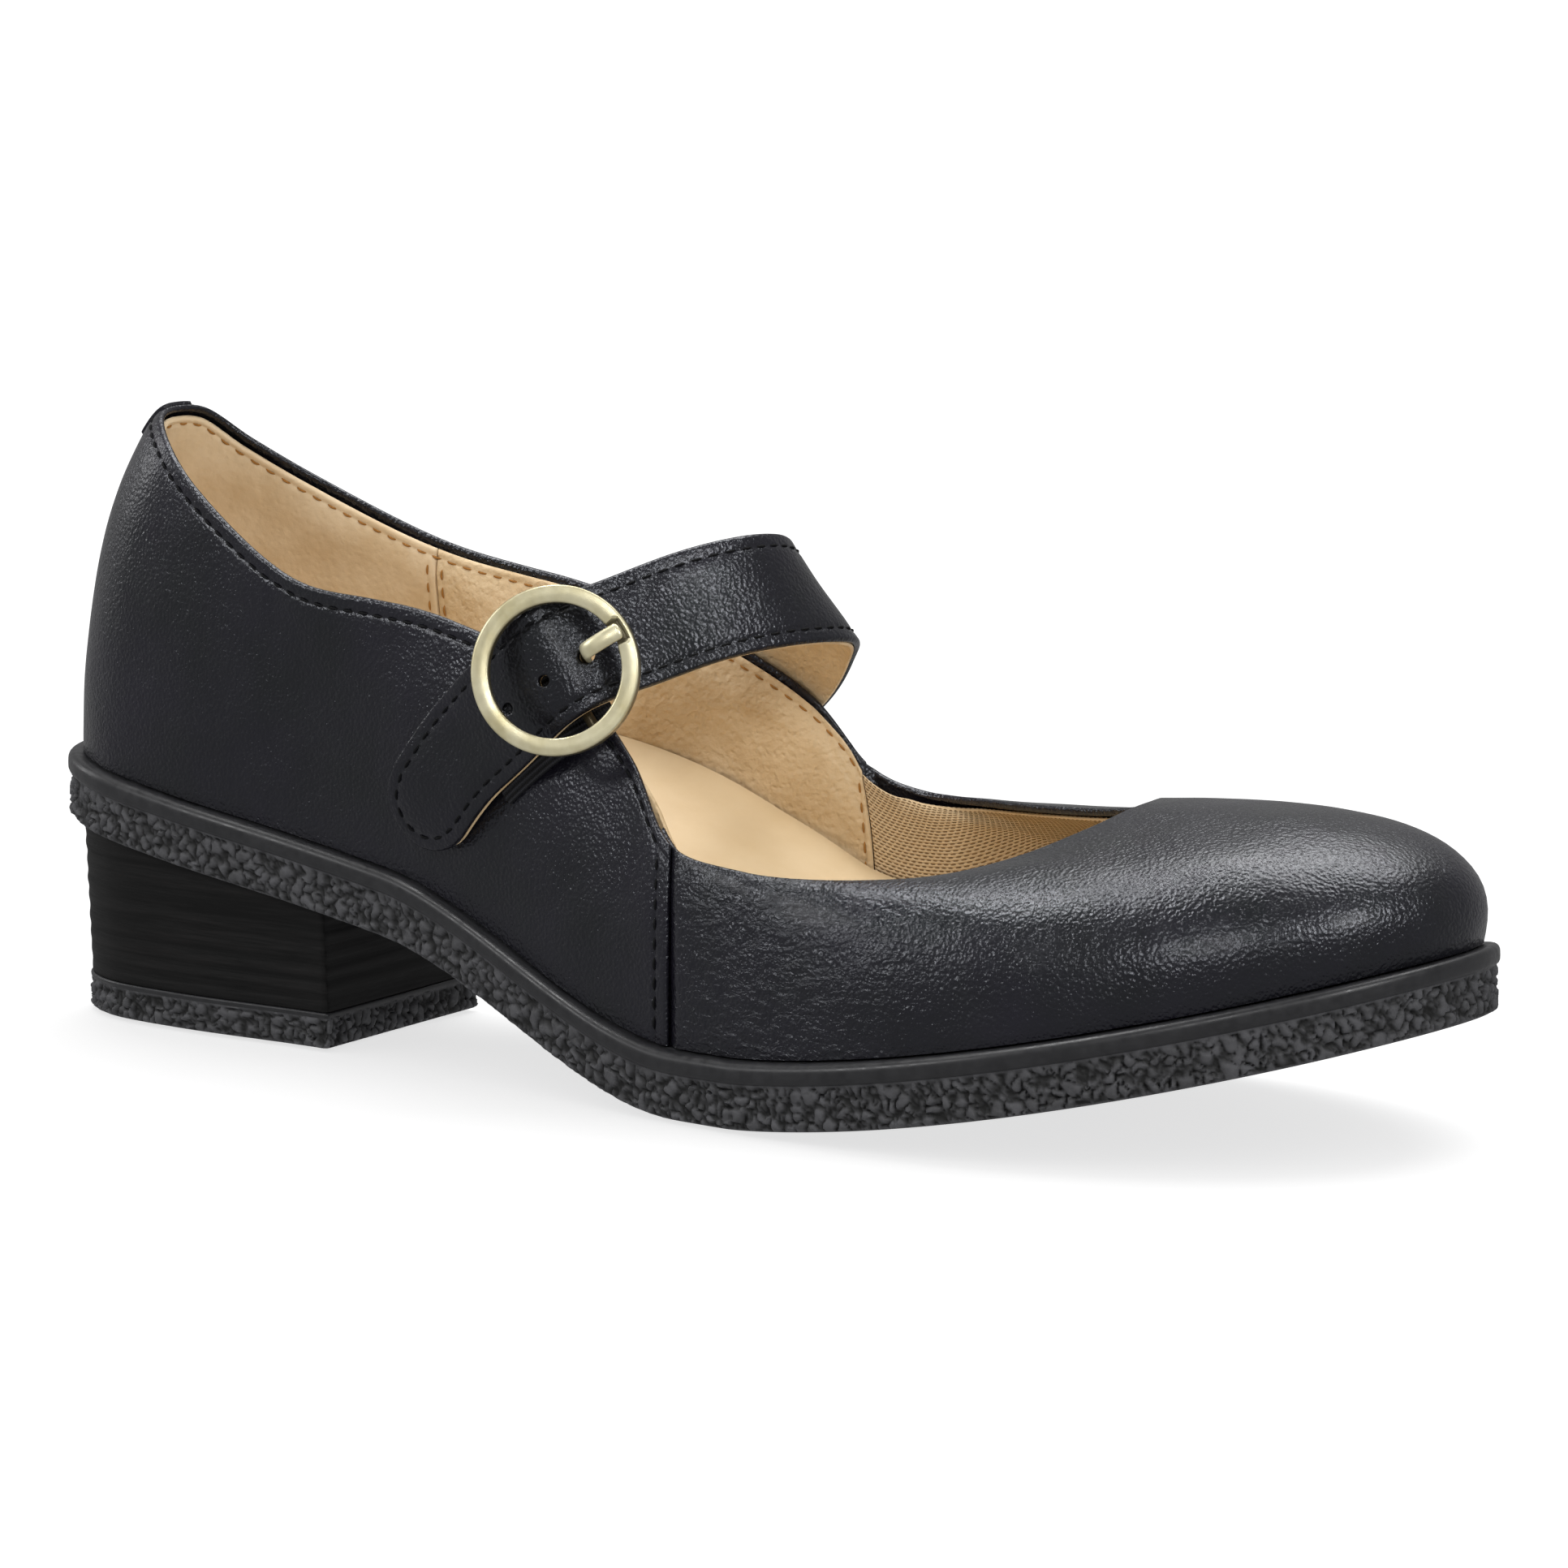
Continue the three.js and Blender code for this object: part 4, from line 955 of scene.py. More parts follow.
def lining_part(ribs, top, thickness, waves, lead, stitched):
    """A lining shell whose visible face is its inner one. lead is the distance (mm) of each rib
    from the nearer cut edge."""
    close_rows = top + np.array([0, 0.2, 0.5, 0.9, 1.2, 1.4, 1.6, 1.9, 2.4, 3.2])
    rises, down = skin_grid(ribs, close_rows, girth(ribs) - 4, LINING_ROWS)
    column = ribs[:, None]
    base = skin(column, rises)
    normal = skin_normal(column, rises)
    outer_depth = lining_depth(rises, column)
    edge = np.minimum(down - top, lead[:, None])
    loss = rounded(edge, thickness / 2)
    inner_depth = outer_depth + thickness - loss
    if stitched:
        inner_depth = inner_depth - 0.18 * groove(down - top - LINING_TOP_STITCH)
        inner_depth = inner_depth - 0.15 * groove(lead[:, None] - LINING_SEAM_STITCH)
    fade = smoothstep(down - top, 0, 7) * smoothstep(lead, 0, 5)[:, None]
    swell = 0.55 * wander(base, 17, 11.3) + 0.22 * wander(base, 6, 5.9)
    inner_depth = inner_depth + waves * fade * swell
    face = base - normal * (outer_depth + loss)[..., None]
    back = base - normal * inner_depth[..., None]
    points, faces = two_sided(face, back)
    along = np.broadcast_to(run_along(base[:, -1])[:, None], down.shape)
    weave = np.stack([along, down, np.zeros(down.shape)], axis=-1)
    return points, faces, on_both_sides(weave)


QUARTER_LINING_TOP = 1.35
VAMP_LINING_TOP = 1.9
# Distances from a lining's cut edge, close together at the edge and at the stitches.
SEAM_COLUMNS = np.array([0, 0.1, 0.25, 0.45, 0.8, 1.2, 1.45, 1.6, 1.75, 2.1, 2.8, 4])


def make_linings():
    parts = (
        ("mesh_lining_fabric", "vamp_lining", OUTER_SEAM, INNER_SEAM, MESH, "mesh_lining",
         VAMP_LINING_TOP, 0.7, 0.6, 260),
        ("outer_quarter_lining_leather", "quarter_lining_lateral", HEEL_LINING_FRONT, OUTER_SEAM,
         TAN_GRAINED, "tan_leather", QUARTER_LINING_TOP, 1.0, 0.9, 130),
        ("inner_quarter_lining_leather", "quarter_lining_medial", INNER_SEAM, HEEL_LINING_BACK,
         TAN_GRAINED, "tan_leather", QUARTER_LINING_TOP, 1.0, 2.1, 130),
        ("heel_lining_leather", "heel_lining", HEEL_LINING_BACK, RIB_COUNT + HEEL_LINING_FRONT,
         TAN_SMOOTH, "tan_leather", QUARTER_LINING_TOP, 1.0, 0.5, 200),
    )
    for name, node, start, end, material, slot, top, thickness, waves, columns in parts:
        low_scale, high_scale = mm_per_rib(start), mm_per_rib(end)
        first, last = start + LINING_SEAM, end - LINING_SEAM
        ribs = np.unique(np.concatenate([
            first + SEAM_COLUMNS / low_scale,
            np.linspace(first + 5 / low_scale, last - 5 / high_scale, columns),
            last - SEAM_COLUMNS[::-1] / high_scale,
        ]))
        lead = np.minimum((ribs - first) * low_scale, (last - ribs) * high_scale)
        lead = np.maximum(lead, 0)
        points, faces, weave = lining_part(
            ribs, top, thickness, waves, lead, stitched=material is not MESH)
        piece = Piece(name).add(points, faces, material, weave=weave).build()
        piece_on("shoe", piece, slot, node)


def make_lining_stitches():
    piece = Piece("lining_stitching")
    top = QUARTER_LINING_TOP + LINING_TOP_STITCH

    def face_depth(rises, ribs):
        return lining_depth(rises, ribs) + LINING - 0.12

    def sew(path, normal):
        piece.add(*stitch_row(path, normal, radius=0.2, length=2.0), TAN_THREAD)

    for start, end in ((0.1, OUTER_SEAM - 0.15), (INNER_SEAM + 0.15, RIB_COUNT - 0.1)):
        sew(*below_top_path(start, end, top, depth=face_depth, inside=True))
    rows = (
        (HEEL_LINING_FRONT, -1), (HEEL_LINING_FRONT, 1),
        (HEEL_LINING_BACK, -1), (HEEL_LINING_BACK, 1),
        (OUTER_SEAM, -1), (INNER_SEAM, 1),
    )
    for seam, side in rows:
        rib = seam + side * LINING_SEAM_STITCH / mm_per_rib(seam)
        rises = np.linspace(0.2, rise_at(rib, top + 1), 80)
        ribs = np.full(len(rises), rib)
        normal = skin_normal(ribs, rises)
        path = skin(ribs, rises) - normal * face_depth(rises, ribs)[:, None]
        sew(path, -normal)
    piece_on("shoe", piece.build(), None)


# ------------------------------------------------------------------ footbed
def rim_ribs(count):
    """Pairs of ribs at equal x, outer side and inner side, from the back of the sole to the toe."""
    table = np.linspace(-2, RIB_COUNT - 2, 6401)
    x = SOLE_EDGE.at(table)[:, 0]
    back, toe = table[np.argmin(x)], table[np.argmax(x)]
    outer_table = np.linspace(back, toe, 4001)
    inner_table = np.linspace(back, toe - RIB_COUNT, 4001)
    along = run_along(SOLE_EDGE.at(outer_table))
    outer = np.interp(np.linspace(0, along[-1], count), along, outer_table)
    inner = np.interp(SOLE_EDGE.at(outer)[:, 0], SOLE_EDGE.at(inner_table)[:, 0], inner_table)
    return outer, inner


def cavity_rim(ribs, height):
    """Points inside the lining at a height above the sole, one for each rib."""
    depth = LINING_DEPTH + LINING + FOOTBED_FIT
    rises = np.linspace(0, 1, 160)
    wall = under(ribs[:, None], rises[None, :], depth)
    above = wall[..., 2] - sole_top(wall[..., 0])
    out = []
    for k, wanted in enumerate(np.broadcast_to(height, ribs.shape)):
        spot = np.interp(wanted, np.maximum.accumulate(above[k]), np.arange(len(rises)))
        low = int(min(spot, len(rises) - 2))
        point = lerp(wall[k, low], wall[k, low + 1], spot - low)
        point[2] = sole_top(point[0]) + wanted
        out.append(point)
    return np.array(out)


RIM_ROUND = 0.45          # the footbed's rounded top edge
FOOTBED_ACROSS = 28


def arch_lift(rib):
    """How much the arch support raises the footbed's rim at a rib."""
    return ARCH_RISE * np.exp(-((np.mod(rib, RIB_COUNT) - ARCH_CENTRE_RIB) / ARCH_SPREAD)**2)


def footbed_side(rim, low):
    """Rows down the side of the footbed, from its rounded edge to its underside."""
    rows = []
    for drop in (0.15, 0.6, 1.6, 4):
        point = rim.copy()
        point[:, 2] -= drop + RIM_ROUND
        rows.append(point)
    return np.stack([*rows, low], axis=1)


def make_footbed():
    sides = rim_ribs(240)
    outer_rim, inner_rim = (cavity_rim(ribs, FOOTBED_TOP + arch_lift(ribs)) for ribs in sides)
    outer_low, inner_low = (cavity_rim(ribs, BOARD_TOP + GAP) for ribs in sides)
    share = np.linspace(0, 1, FOOTBED_ACROSS + 1)
    bridge = lerp(outer_rim[:, None], inner_rim[:, None], share[None, :, None])
    width = np.linalg.norm(inner_rim - outer_rim, axis=1)[:, None]
    edge = width * np.minimum(share, 1 - share)[None, :]
    fall = 1 - (2 * share - 1)**4
    bridge[..., 2] -= FOOTBED_DISH * fall[None, :] * smoothstep(width, 0, 30)
    bridge[..., 2] -= 0.5 * rounded(edge, 2 * RIM_ROUND)
    bridge[..., 2] += 0.12 * wander(bridge, 30, 2.2)
    underside = lerp(outer_low[:, None], inner_low[:, None], share[None, 1:-1, None])
    rings = np.concatenate([
        bridge,
        footbed_side(inner_rim, inner_low),
        underside[:, ::-1],
        footbed_side(outer_rim, outer_low)[:, ::-1],
    ], axis=1)
    points, faces = loft_capped(rings[1:-1])
    piece = Piece("footbed").add(points, faces, FOOTBED_LEATHER).build()
    piece_on("shoe", piece, "footbed_leather", "footbed_cover", "footbed_foam")


# ------------------------------------------------------------------ sole, heel and top lift
CREPE_SEED = 1            # without a seed, noise_vector gives other values in every run
noise.seed_set(CREPE_SEED)
CREPE_DEPTH = 0.85
CREPE_LUMP = 2.1          # size of the lumps
CREPE_SPECK = 1.1         # size of the fine roughness over them


def crepe(points):
    """Relief of crepe rubber: low lumps with narrow crevices between them."""
    out = []
    for x, y, z in points.reshape(-1, 3).tolist():
        place = Vector((x, y, z)) / CREPE_LUMP
        place += 0.6 * noise.noise_vector(place * 1.1)
        near, far = noise.voronoi(place)[0][:2]
        lump = min(1.0, (far - near) / 0.35)
        rough = noise.noise(Vector((x, y, z)) / CREPE_SPECK)
        out.append(CREPE_DEPTH * (lump - 0.75) + 0.16 * rough)
    return np.array(out).reshape(points.shape[:-1])


def outward_of(ring):
    """Level outward normals of a closed ring that runs round the outer side towards the toe."""
    ahead = np.roll(ring, -1, axis=0) - np.roll(ring, 1, axis=0)
    normal = np.column_stack([ahead[:, 1], -ahead[:, 0], np.zeros(len(ring))])
    return unit(normal)


def crepe_rings(rings, lifts, top, fade):
    """Rings with crepe relief, and its height. The relief fades out at the ground, and over the
    two distances of fade below top."""
    heights = []
    for ring, lift in zip(rings, lifts):
        height = np.zeros(len(ring))
        if top - lift > fade[0]:
            height = crepe(ring) * (smoothstep(lift, 0, 0.5) * smoothstep(top - lift, *fade))
            ring += outward_of(ring) * height[:, None]
        heights.append(height)
    return np.stack(rings), np.concatenate(heights)


def rubber_piece(name, node, points, faces, relief, smooth):
    """A crepe rubber piece whose first faces, as many as smooth, are of smooth rubber."""
    obj = Piece(name).add(points, faces, CREPE, relief=relief).build(sharp=60)
    obj.data.materials.append(SMOOTH_RUBBER)
    for polygon in obj.data.polygons[:smooth]:
        polygon.material_index = 1
    piece_on("shoe", obj, "crepe_rubber", node)


def outsole_profile():
    """Pairs of inset and height above the sole's bottom: the smooth lip, and the rest below it."""
    top = SOLE_THICKNESS
    foot = top - LIP_HEIGHT
    roll = 1.5
    lip = [(2.9, top), (1.9, top)]
    for turn in np.radians(np.linspace(0, 90, 7)):
        lip.append((roll * (1 - math.sin(turn)) + 0.05, top - roll * (1 - math.cos(turn))))
    lip += [(0.02, foot + 1.1), (0.05, foot + 0.5), (0.2, foot + 0.15), (0.55, foot - 0.1)]
    wall = [(lerp(0.6, 0.35, s), lerp(foot - 0.3, 0.8, s)) for s in np.linspace(0, 1, 17)]
    return lip, wall + [(0.5, 0.45), (0.8, 0.15), (1.3, 0)]


def make_outsole():
    outer, inner = rim_ribs(760)
    ribs = np.concatenate([outer, inner[-2:0:-1] + RIB_COUNT])
    lip, wall = outsole_profile()
    rings = []
    for inset, lift in lip + wall:
        ring = edge_point(ribs, inset)
        ring[:, 2] = sole_bottom(ring[:, 0]) + lift
        rings.append(ring)
    lifts = [lift for _, lift in lip + wall]
    rings, relief = crepe_rings(rings, lifts, SOLE_THICKNESS - LIP_HEIGHT, (0.1, 0.8))
    levels, size = rings.shape[:2]
    index, faces = ring_quads(levels, size)
    points = rings.reshape(-1, 3)
    for level, height in ((0, SOLE_THICKNESS), (levels - 1, 0)):
        made, quads = paired_cap(rings[level], index[level], len(outer), height, len(points))
        points = np.concatenate([points, made])
        faces += quads
    relief = np.concatenate([relief, np.zeros(len(points) - len(relief))])
    rubber_piece("outsole_rubber", "outsole", points, faces, relief, (len(lip) - 1) * size)


CAP_ACROSS = 16


def paired_cap(ring, index, half, lift, start):
    """Closes a ring whose first half runs up the outer side and second half back down the inner
    side, with rows across between points at equal x."""
    points, faces = [], []
    count = len(ring)
    previous = None
    for k in range(1, half - 1):
        a, b = ring[k], ring[count - k]
        row = [index[k]]
        for s in range(1, CAP_ACROSS):
            point = lerp(a, b, s / CAP_ACROSS)
            point[2] = sole_bottom(point[0]) + lift
            row.append(start + len(points))
            points.append(point)
        row.append(index[count - k])
        row = [int(i) for i in row]
        if previous is None:
            tip = int(index[0])
            faces += [[tip, row[s], row[s + 1]] for s in range(CAP_ACROSS)]
        else:
            faces += [[previous[s], row[s], row[s + 1], previous[s + 1]] for s in range(CAP_ACROSS)]
        previous = row
    tip = int(index[half - 1])
    faces += [[tip, previous[s + 1], previous[s]] for s in range(CAP_ACROSS)]
    return np.array(points), faces


def heel_ring(inset, breast, back_count=300, breast_count=70, corner=0.7):
    """A level ring round the heel block: the sole edge behind the breast, and the flat breast."""
    table = np.linspace(-8, 8, 3201)
    inside = edge_point(table, inset)
    held = inside[:, 0] < breast - corner
    first, last = table[held][0], table[held][-1]
    curve = edge_point(np.linspace(first, last, back_count), inset)
    inner, outer = curve[0], curve[-1]
    y = np.linspace(outer[1] + corner, inner[1] - corner, breast_count)
    front = np.column_stack([np.full(breast_count, breast), y, np.zeros(breast_count)])
    turns = np.radians(np.linspace(0, 90, 6)[1:-1])
    outer_corner = [
        [breast - corner + corner * math.sin(t), outer[1] + corner - corner * math.cos(t), 0]
        for t in turns
    ]
    inner_corner = [
        [breast - corner + corner * math.cos(t), inner[1] - corner + corner * math.sin(t), 0]
        for t in turns
    ]
    return np.concatenate([curve, outer_corner, front, inner_corner])


STACK_LAYER = 3.1         # height of one layer of the stacked heel


def make_heel():
    foot = LIFT_HEIGHT + 0.12
    rings = []
    for share in np.linspace(0, 1, 80):
        ring = heel_ring(lerp(HEEL_INSET + HEEL_TAPER, HEEL_INSET, share), HEEL_BREAST_X)
        ring[:, 2] = lerp(foot, sole_bottom(ring[:, 0]) - 0.05, share)
        layer = 0.07 * np.sin(ring[:, 2] * 2 * math.pi / STACK_LAYER)
        layer = layer + 0.1 * wander(ring * (0.05, 0.05, 1), 1.6, 4.4)
        ring += outward_of(ring) * layer[:, None]
        rings.append(ring)
    points, faces = loft_capped(np.stack(rings))
    obj = Piece("heel_stack").add(points, faces, STACKED).build()
    piece_on("shoe", obj, "stacked_heel", "heel_wrap")


def make_top_lift():
    """The crepe lift under the heel, with a smooth band at its top edge."""
    band = [(0.9, 0), (0.35, 0), (0.12, 0.12), (0.05, 0.35), (0.1, 0.75), (0.3, 0.95)]
    levels = [(extra, LIFT_HEIGHT - drop) for extra, drop in band]
    levels += [(0.2, z) for z in np.linspace(LIFT_HEIGHT - 1.2, 0.7, 13)]
    levels += [(0.35, 0.35), (0.6, 0.1), (1.0, 0.0)]
    inset = HEEL_INSET + HEEL_TAPER - 0.4
    rings = []
    for extra, z in levels:
        ring = heel_ring(inset + extra, HEEL_BREAST_X + 0.4 - extra, 420, 150)
        ring[:, 2] = z
        rings.append(ring)
    rings, relief = crepe_rings(rings, [z for _, z in levels], LIFT_HEIGHT - 1, (0, 0.5))
    points, faces = loft_capped(rings)
    smooth = (len(band) - 1) * rings.shape[1]
    rubber_piece("heel_toplift_rubber", "heel_toplift", points, faces, relief, smooth)


# ------------------------------------------------------------------ strap
ROOT_STAND = 3 * GAP + STRAP_STACK
TAIL_STAND = 2.4 * GAP + ELASTIC_THICKNESS + GAP + STRAP_STACK
BAR_STAND = TAIL_STAND + 2 * EYE_RADIUS + 4.5 * GAP
SEAT = 6


def make_strap_route():
    inner_root = under(24.35, 0.97, -ROOT_STAND)
    outer_root = under(7, 0.97, -BAR_STAND)

    def bridge(share, ahead, above):
        return lerp(inner_root, outer_root, share) + np.array([ahead, 0, above])

    route = (
        (under(25.1, 0.55, -ROOT_STAND), (-0.84, -0.05, 0.54)),
        (inner_root, (-0.84, -0.08, 0.53)),
        (bridge(0.1, 11, 9.5), (-0.7, -0.16, 0.69)),
        (bridge(0.26, 19, 14.3), (-0.54, -0.2, 0.82)),
        (bridge(0.46, 19.5, 14.8), (-0.45, -0.12, 0.89)),
        (bridge(0.7, 12, 10.6), (-0.5, -0.05, 0.86)),
        (bridge(1, 1.2, -0.1), (-0.61, -0.03, 0.79)),
        (under(6.28, 0.52, -TAIL_STAND), (-0.84, 0.1, 0.53)),
        (under(5.9, 0.27, -ROOT_STAND - 0.7), (-0.91, 0.06, 0.41)),
        (under(5.58, 0.12, -ROOT_STAND), (-0.92, 0.05, 0.39)),
    )
    return Curve([point for point, _ in route]), Curve([across for _, across in route])


STRAP_LINE, STRAP_ACROSS = make_strap_route()
LAST_STOP = STRAP_LINE.last
STOP_TABLE = np.linspace(0, LAST_STOP, 1801)
LENGTH_TABLE = run_along(STRAP_LINE.at(STOP_TABLE))
STRAP_LENGTH = LENGTH_TABLE[-1]


def strap_frame(stop):
    """Origin, along, across and outward directions of the strap at stops of its route."""
    origin = STRAP_LINE.at(stop)
    along = STRAP_LINE.tangent(stop)
    across = STRAP_ACROSS.at(stop)
    across = unit(across - along * np.sum(across * along, axis=-1, keepdims=True))
    return origin, along, across, unit(np.cross(across, along))


def stop_at(length):
    return np.interp(length, LENGTH_TABLE, STOP_TABLE)


def strap_half(length):
    narrow = smoothstep(stop_at(length), SEAT, LAST_STOP)
    return lerp(STRAP_WIDTH, STRAP_TAIL_WIDTH, narrow) / 2


TAIL_HALF = STRAP_TAIL_WIDTH / 2
TAIL_CENTRE = STRAP_LENGTH - TAIL_HALF
STRAP_STITCH = 2.3
SEAT_LENGTH = float(np.interp(SEAT, STOP_TABLE, LENGTH_TABLE))
BUCKLE_SHIFT = 1.7
BUCKLE_SHIFT_SPAN = 11
STRAP_COLUMNS = 45


def strap_place(length, y, depth):
    """Points of the strap by length along it, y across it and depth under its face. It sits a
    little to the heel side of the buckle's middle."""
    y = y + BUCKLE_SHIFT * np.exp(-((length - SEAT_LENGTH) / BUCKLE_SHIFT_SPAN)**2)
    origin, _, across, outward = strap_frame(stop_at(length))
    return origin + across * y[..., None] - outward * depth[..., None]


def strap_margin(length, y):
    """Distance from a point of the strap to its outline."""
    side = strap_half(length) - np.abs(y)
    end = TAIL_HALF - np.hypot(np.maximum(length - TAIL_CENTRE, 0), y)
    return np.where(length > TAIL_CENTRE, end, np.minimum(side, length + 2.0))


def strap_part(first, last, top, bottom, trim, crown):
    """One ply between two lengths, with rounded edges and sewn grooves."""
    lengths = np.linspace(first, last, max(int((last - first) / 0.7), 8))
    if last > TAIL_CENTRE:
        body = lengths[lengths < TAIL_CENTRE]
        turn = np.linspace(0, math.pi / 2, 26)[:-1]
        rounding = TAIL_CENTRE + (TAIL_HALF - trim) * np.sin(turn)
        lengths = np.concatenate([body, rounding, [last - trim - 0.01]])
    half = strap_half(lengths) - trim
    past = np.clip((lengths - TAIL_CENTRE) / (TAIL_HALF - trim), 0, 1)
    half = half * np.sqrt(np.maximum(1 - past**2, 1e-5))
    angles = np.linspace(-1, 1, STRAP_COLUMNS) * math.pi / 2 * 0.82
    y = half[:, None] * (np.sin(angles) / math.sin(angles[-1]))[None, :]
    length = np.broadcast_to(lengths[:, None], y.shape)
    margin = np.maximum(strap_margin(length, y) - trim, 0)
    loss = rounded(margin, (bottom - top) * 0.45)
    face = top + loss - crown * smoothstep(margin, 0, 5)
    if crown:
        face = face + 0.2 * groove(margin - STRAP_STITCH + trim)
        swell = 0.12 * wander(strap_place(length, y, face), 9, 6.1)
        face = face - swell * smoothstep(margin, 2, 5)
    return two_sided(strap_place(length, y, face), strap_place(length, y, bottom - loss))


def strap_stitch_paths(first, last):
    """Lengths and places across of the stitches between two lengths: two edge rows, which join
    round the tail, or which a row across joins at the sewn end."""
    inset = STRAP_STITCH
    if last < TAIL_CENTRE:
        lengths = np.linspace(first, last, 120)
        for side in (-1, 1):
            yield lengths, side * (strap_half(lengths) - inset)
        yield np.full(30, inset), np.linspace(-1, 1, 30) * (STRAP_WIDTH / 2 - inset)
        return
    straight = np.linspace(first, TAIL_CENTRE, 200)
    turn = np.linspace(-math.pi / 2, math.pi / 2, 60)[1:-1]
    radius = TAIL_HALF - inset
    edge = strap_half(straight) - inset
    lengths = np.concatenate([straight, TAIL_CENTRE + radius * np.cos(turn), straight[::-1]])
    yield lengths, np.concatenate([-edge, radius * np.sin(turn), edge[::-1]])


def on_seat(points):
    """Points in the buckle's own frame: x to the instep, y across to the heel, z outwards."""
    origin, along, across, outward = strap_frame(np.array(float(SEAT)))
    points = np.asarray(points, float)
    return origin - points[..., :1] * along + points[..., 1:2] * across + points[..., 2:3] * outward


def punch_holes(obj):
    """Cuts the punched holes through a ply."""
    for i, radius in enumerate((1.35, 1.0, 1.0)):
        x = PRONG_HOLE_X - i * HOLE_PITCH
        path = on_seat([(x, 0, z) for z in (-6, -2, 2)])
        points, faces = tube(path, radius, sides=28, up=(1, 0, 0))
        cutter = Piece("cutter").add(points, faces, BLACK).build()
        modifier = obj.modifiers.new("hole", "BOOLEAN")
        modifier.operation = "DIFFERENCE"
        modifier.solver = "EXACT"
        modifier.object = cutter
        bpy.context.view_layer.update()
        evaluated = obj.evaluated_get(bpy.context.evaluated_depsgraph_get())
        cut = bpy.data.meshes.new_from_object(evaluated)
        obj.modifiers.clear()
        obj.data = cut
        bpy.data.objects.remove(cutter)


ROOT_LENGTH = float(np.interp(1, STOP_TABLE, LENGTH_TABLE))
SPLIT_LENGTH = ROOT_LENGTH - 2.0   # the sewn end and the free strap meet here
STITCH_SINK = 0.05                 # the strap's stitches lie this deep under its face


def swing(obj, root):
    """The free strap: its placement is baked into its mesh."""
    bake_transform(obj)


def stay(obj, root):
    """The sewn end, which meets the free strap at the root: its placement is baked into its mesh."""
    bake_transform(obj)


def make_strap():
    place = strap_place(np.array([ROOT_LENGTH]), np.zeros(1), np.zeros(1))[0]
    root = Vector((place + ROW_SHIFT) * MM)
    plies = (
        ("outer", 0, 1.42, 0, 0.25, BLACK, "black_leather", "strap_outer"),
        ("lining", 1.46, STRAP_STACK, 0.1, 0, TAN_GRAINED, "tan_leather", "strap_lining"),
    )
    for ply, top, bottom, trim, crown, material, slot, node in plies:
        points, faces = strap_part(0, SPLIT_LENGTH, top, bottom, trim, crown)
        end = Piece(f"strap_{ply}_end").add(points, faces, material).build()
        stay(end, root)
        finish_piece(end, slot)
        points, faces = strap_part(SPLIT_LENGTH, STRAP_LENGTH, top, bottom, trim, crown)
        band = Piece(f"strap_{ply}_band").add(points, faces, material).build()
        punch_holes(band)
        swing(band, root)
        finish_piece(band, slot, node)
    stitched = (
        ("end", 2.0, SPLIT_LENGTH - 0.5, stay),
        ("band", SPLIT_LENGTH + 0.5, STRAP_LENGTH, swing),
    )
    for part, first, last, carry in stitched:
        piece = Piece(f"strap_stitching_{part}")
        for lengths, y in strap_stitch_paths(first, last):
            path = strap_place(lengths, y, np.full(len(lengths), STITCH_SINK))
            outward = strap_frame(stop_at(lengths))[3]
            piece.add(*stitch_row(path, outward), BLACK_THREAD)
        carry(piece.build(), root)


# ------------------------------------------------------------------ buckle
def make_ring():
    """The round buckle: a band with a soft crown, notched for the prong's tip."""
    inner = RING_OUTER_RADIUS - RING_BAND
    low, top = RING_LIFT, RING_LIFT + RING_THICKNESS
    corner = 0.42
    profile = []
    # Painted shade along the profile: full on the ring's sides and underside, none on its top, as light
    # from above falls.
    patina = []
    corners = (
        (RING_OUTER_RADIUS - corner, low + corner, -90, 0),
        (RING_OUTER_RADIUS - corner, top - corner, 0, 90),
        (inner + corner, top - corner, 90, 180),
        (inner + corner, low + corner, 180, 270),
    )
    for x, z, first, last in corners:
        for angle in np.radians(np.linspace(first, last, 6)):
            profile.append((x + corner * math.cos(angle), z + corner * math.sin(angle)))
            patina.append(1 - max(0, math.sin(angle)) ** 0.7)
        if first == 0:
            for share in np.linspace(0, 1, 7)[1:-1]:
                radius = lerp(RING_OUTER_RADIUS - corner, inner + corner, share)
                profile.append((radius, top + 0.12 * math.sin(share * math.pi)))
                patina.append(0)
    profile = np.array(profile)
    turns = np.arange(240) * 2 * math.pi / 240
    rings = np.stack([
        profile[None, :, 0] * np.cos(turns)[:, None],
        profile[None, :, 0] * np.sin(turns)[:, None],
        np.broadcast_to(profile[:, 1], (len(turns), len(profile))),
    ], axis=-1)
    reach = smoothstep(-rings[..., 0], -RING_OUTER_RADIUS + 0.5, -RING_OUTER_RADIUS + 1.1)
    beside = 1 - smoothstep(np.abs(rings[..., 1]), 1.85, 2.1)
    notch = beside * reach * (rings[..., 0] > 0)
    high = smoothstep(rings[..., 2], low + 0.6, top)
    rings[..., 2] -= 0.95 * notch * high
    _, faces = ring_quads(*rings.shape[:2], looped=True)
    # Painted shade also fills the notch under the prong's tip.
    shade_mask = np.maximum(np.broadcast_to(patina, notch.shape), notch).ravel()
    piece = Piece("buckle_ring").add(on_seat(rings.reshape(-1, 3)), faces, BRASS, patina=shade_mask)
    points, faces = tube(on_seat(bar_route()), BAR_RADIUS, sides=16, up=(0.3, 0.9, 0.2))
    # The bar, under the strap, is painted wholly in shade.
    piece.add(points, faces, BRASS, patina=np.full(len(points), 1.2))
    piece_on("buckle", piece.build(), "antique_brass", "buckle_frame")


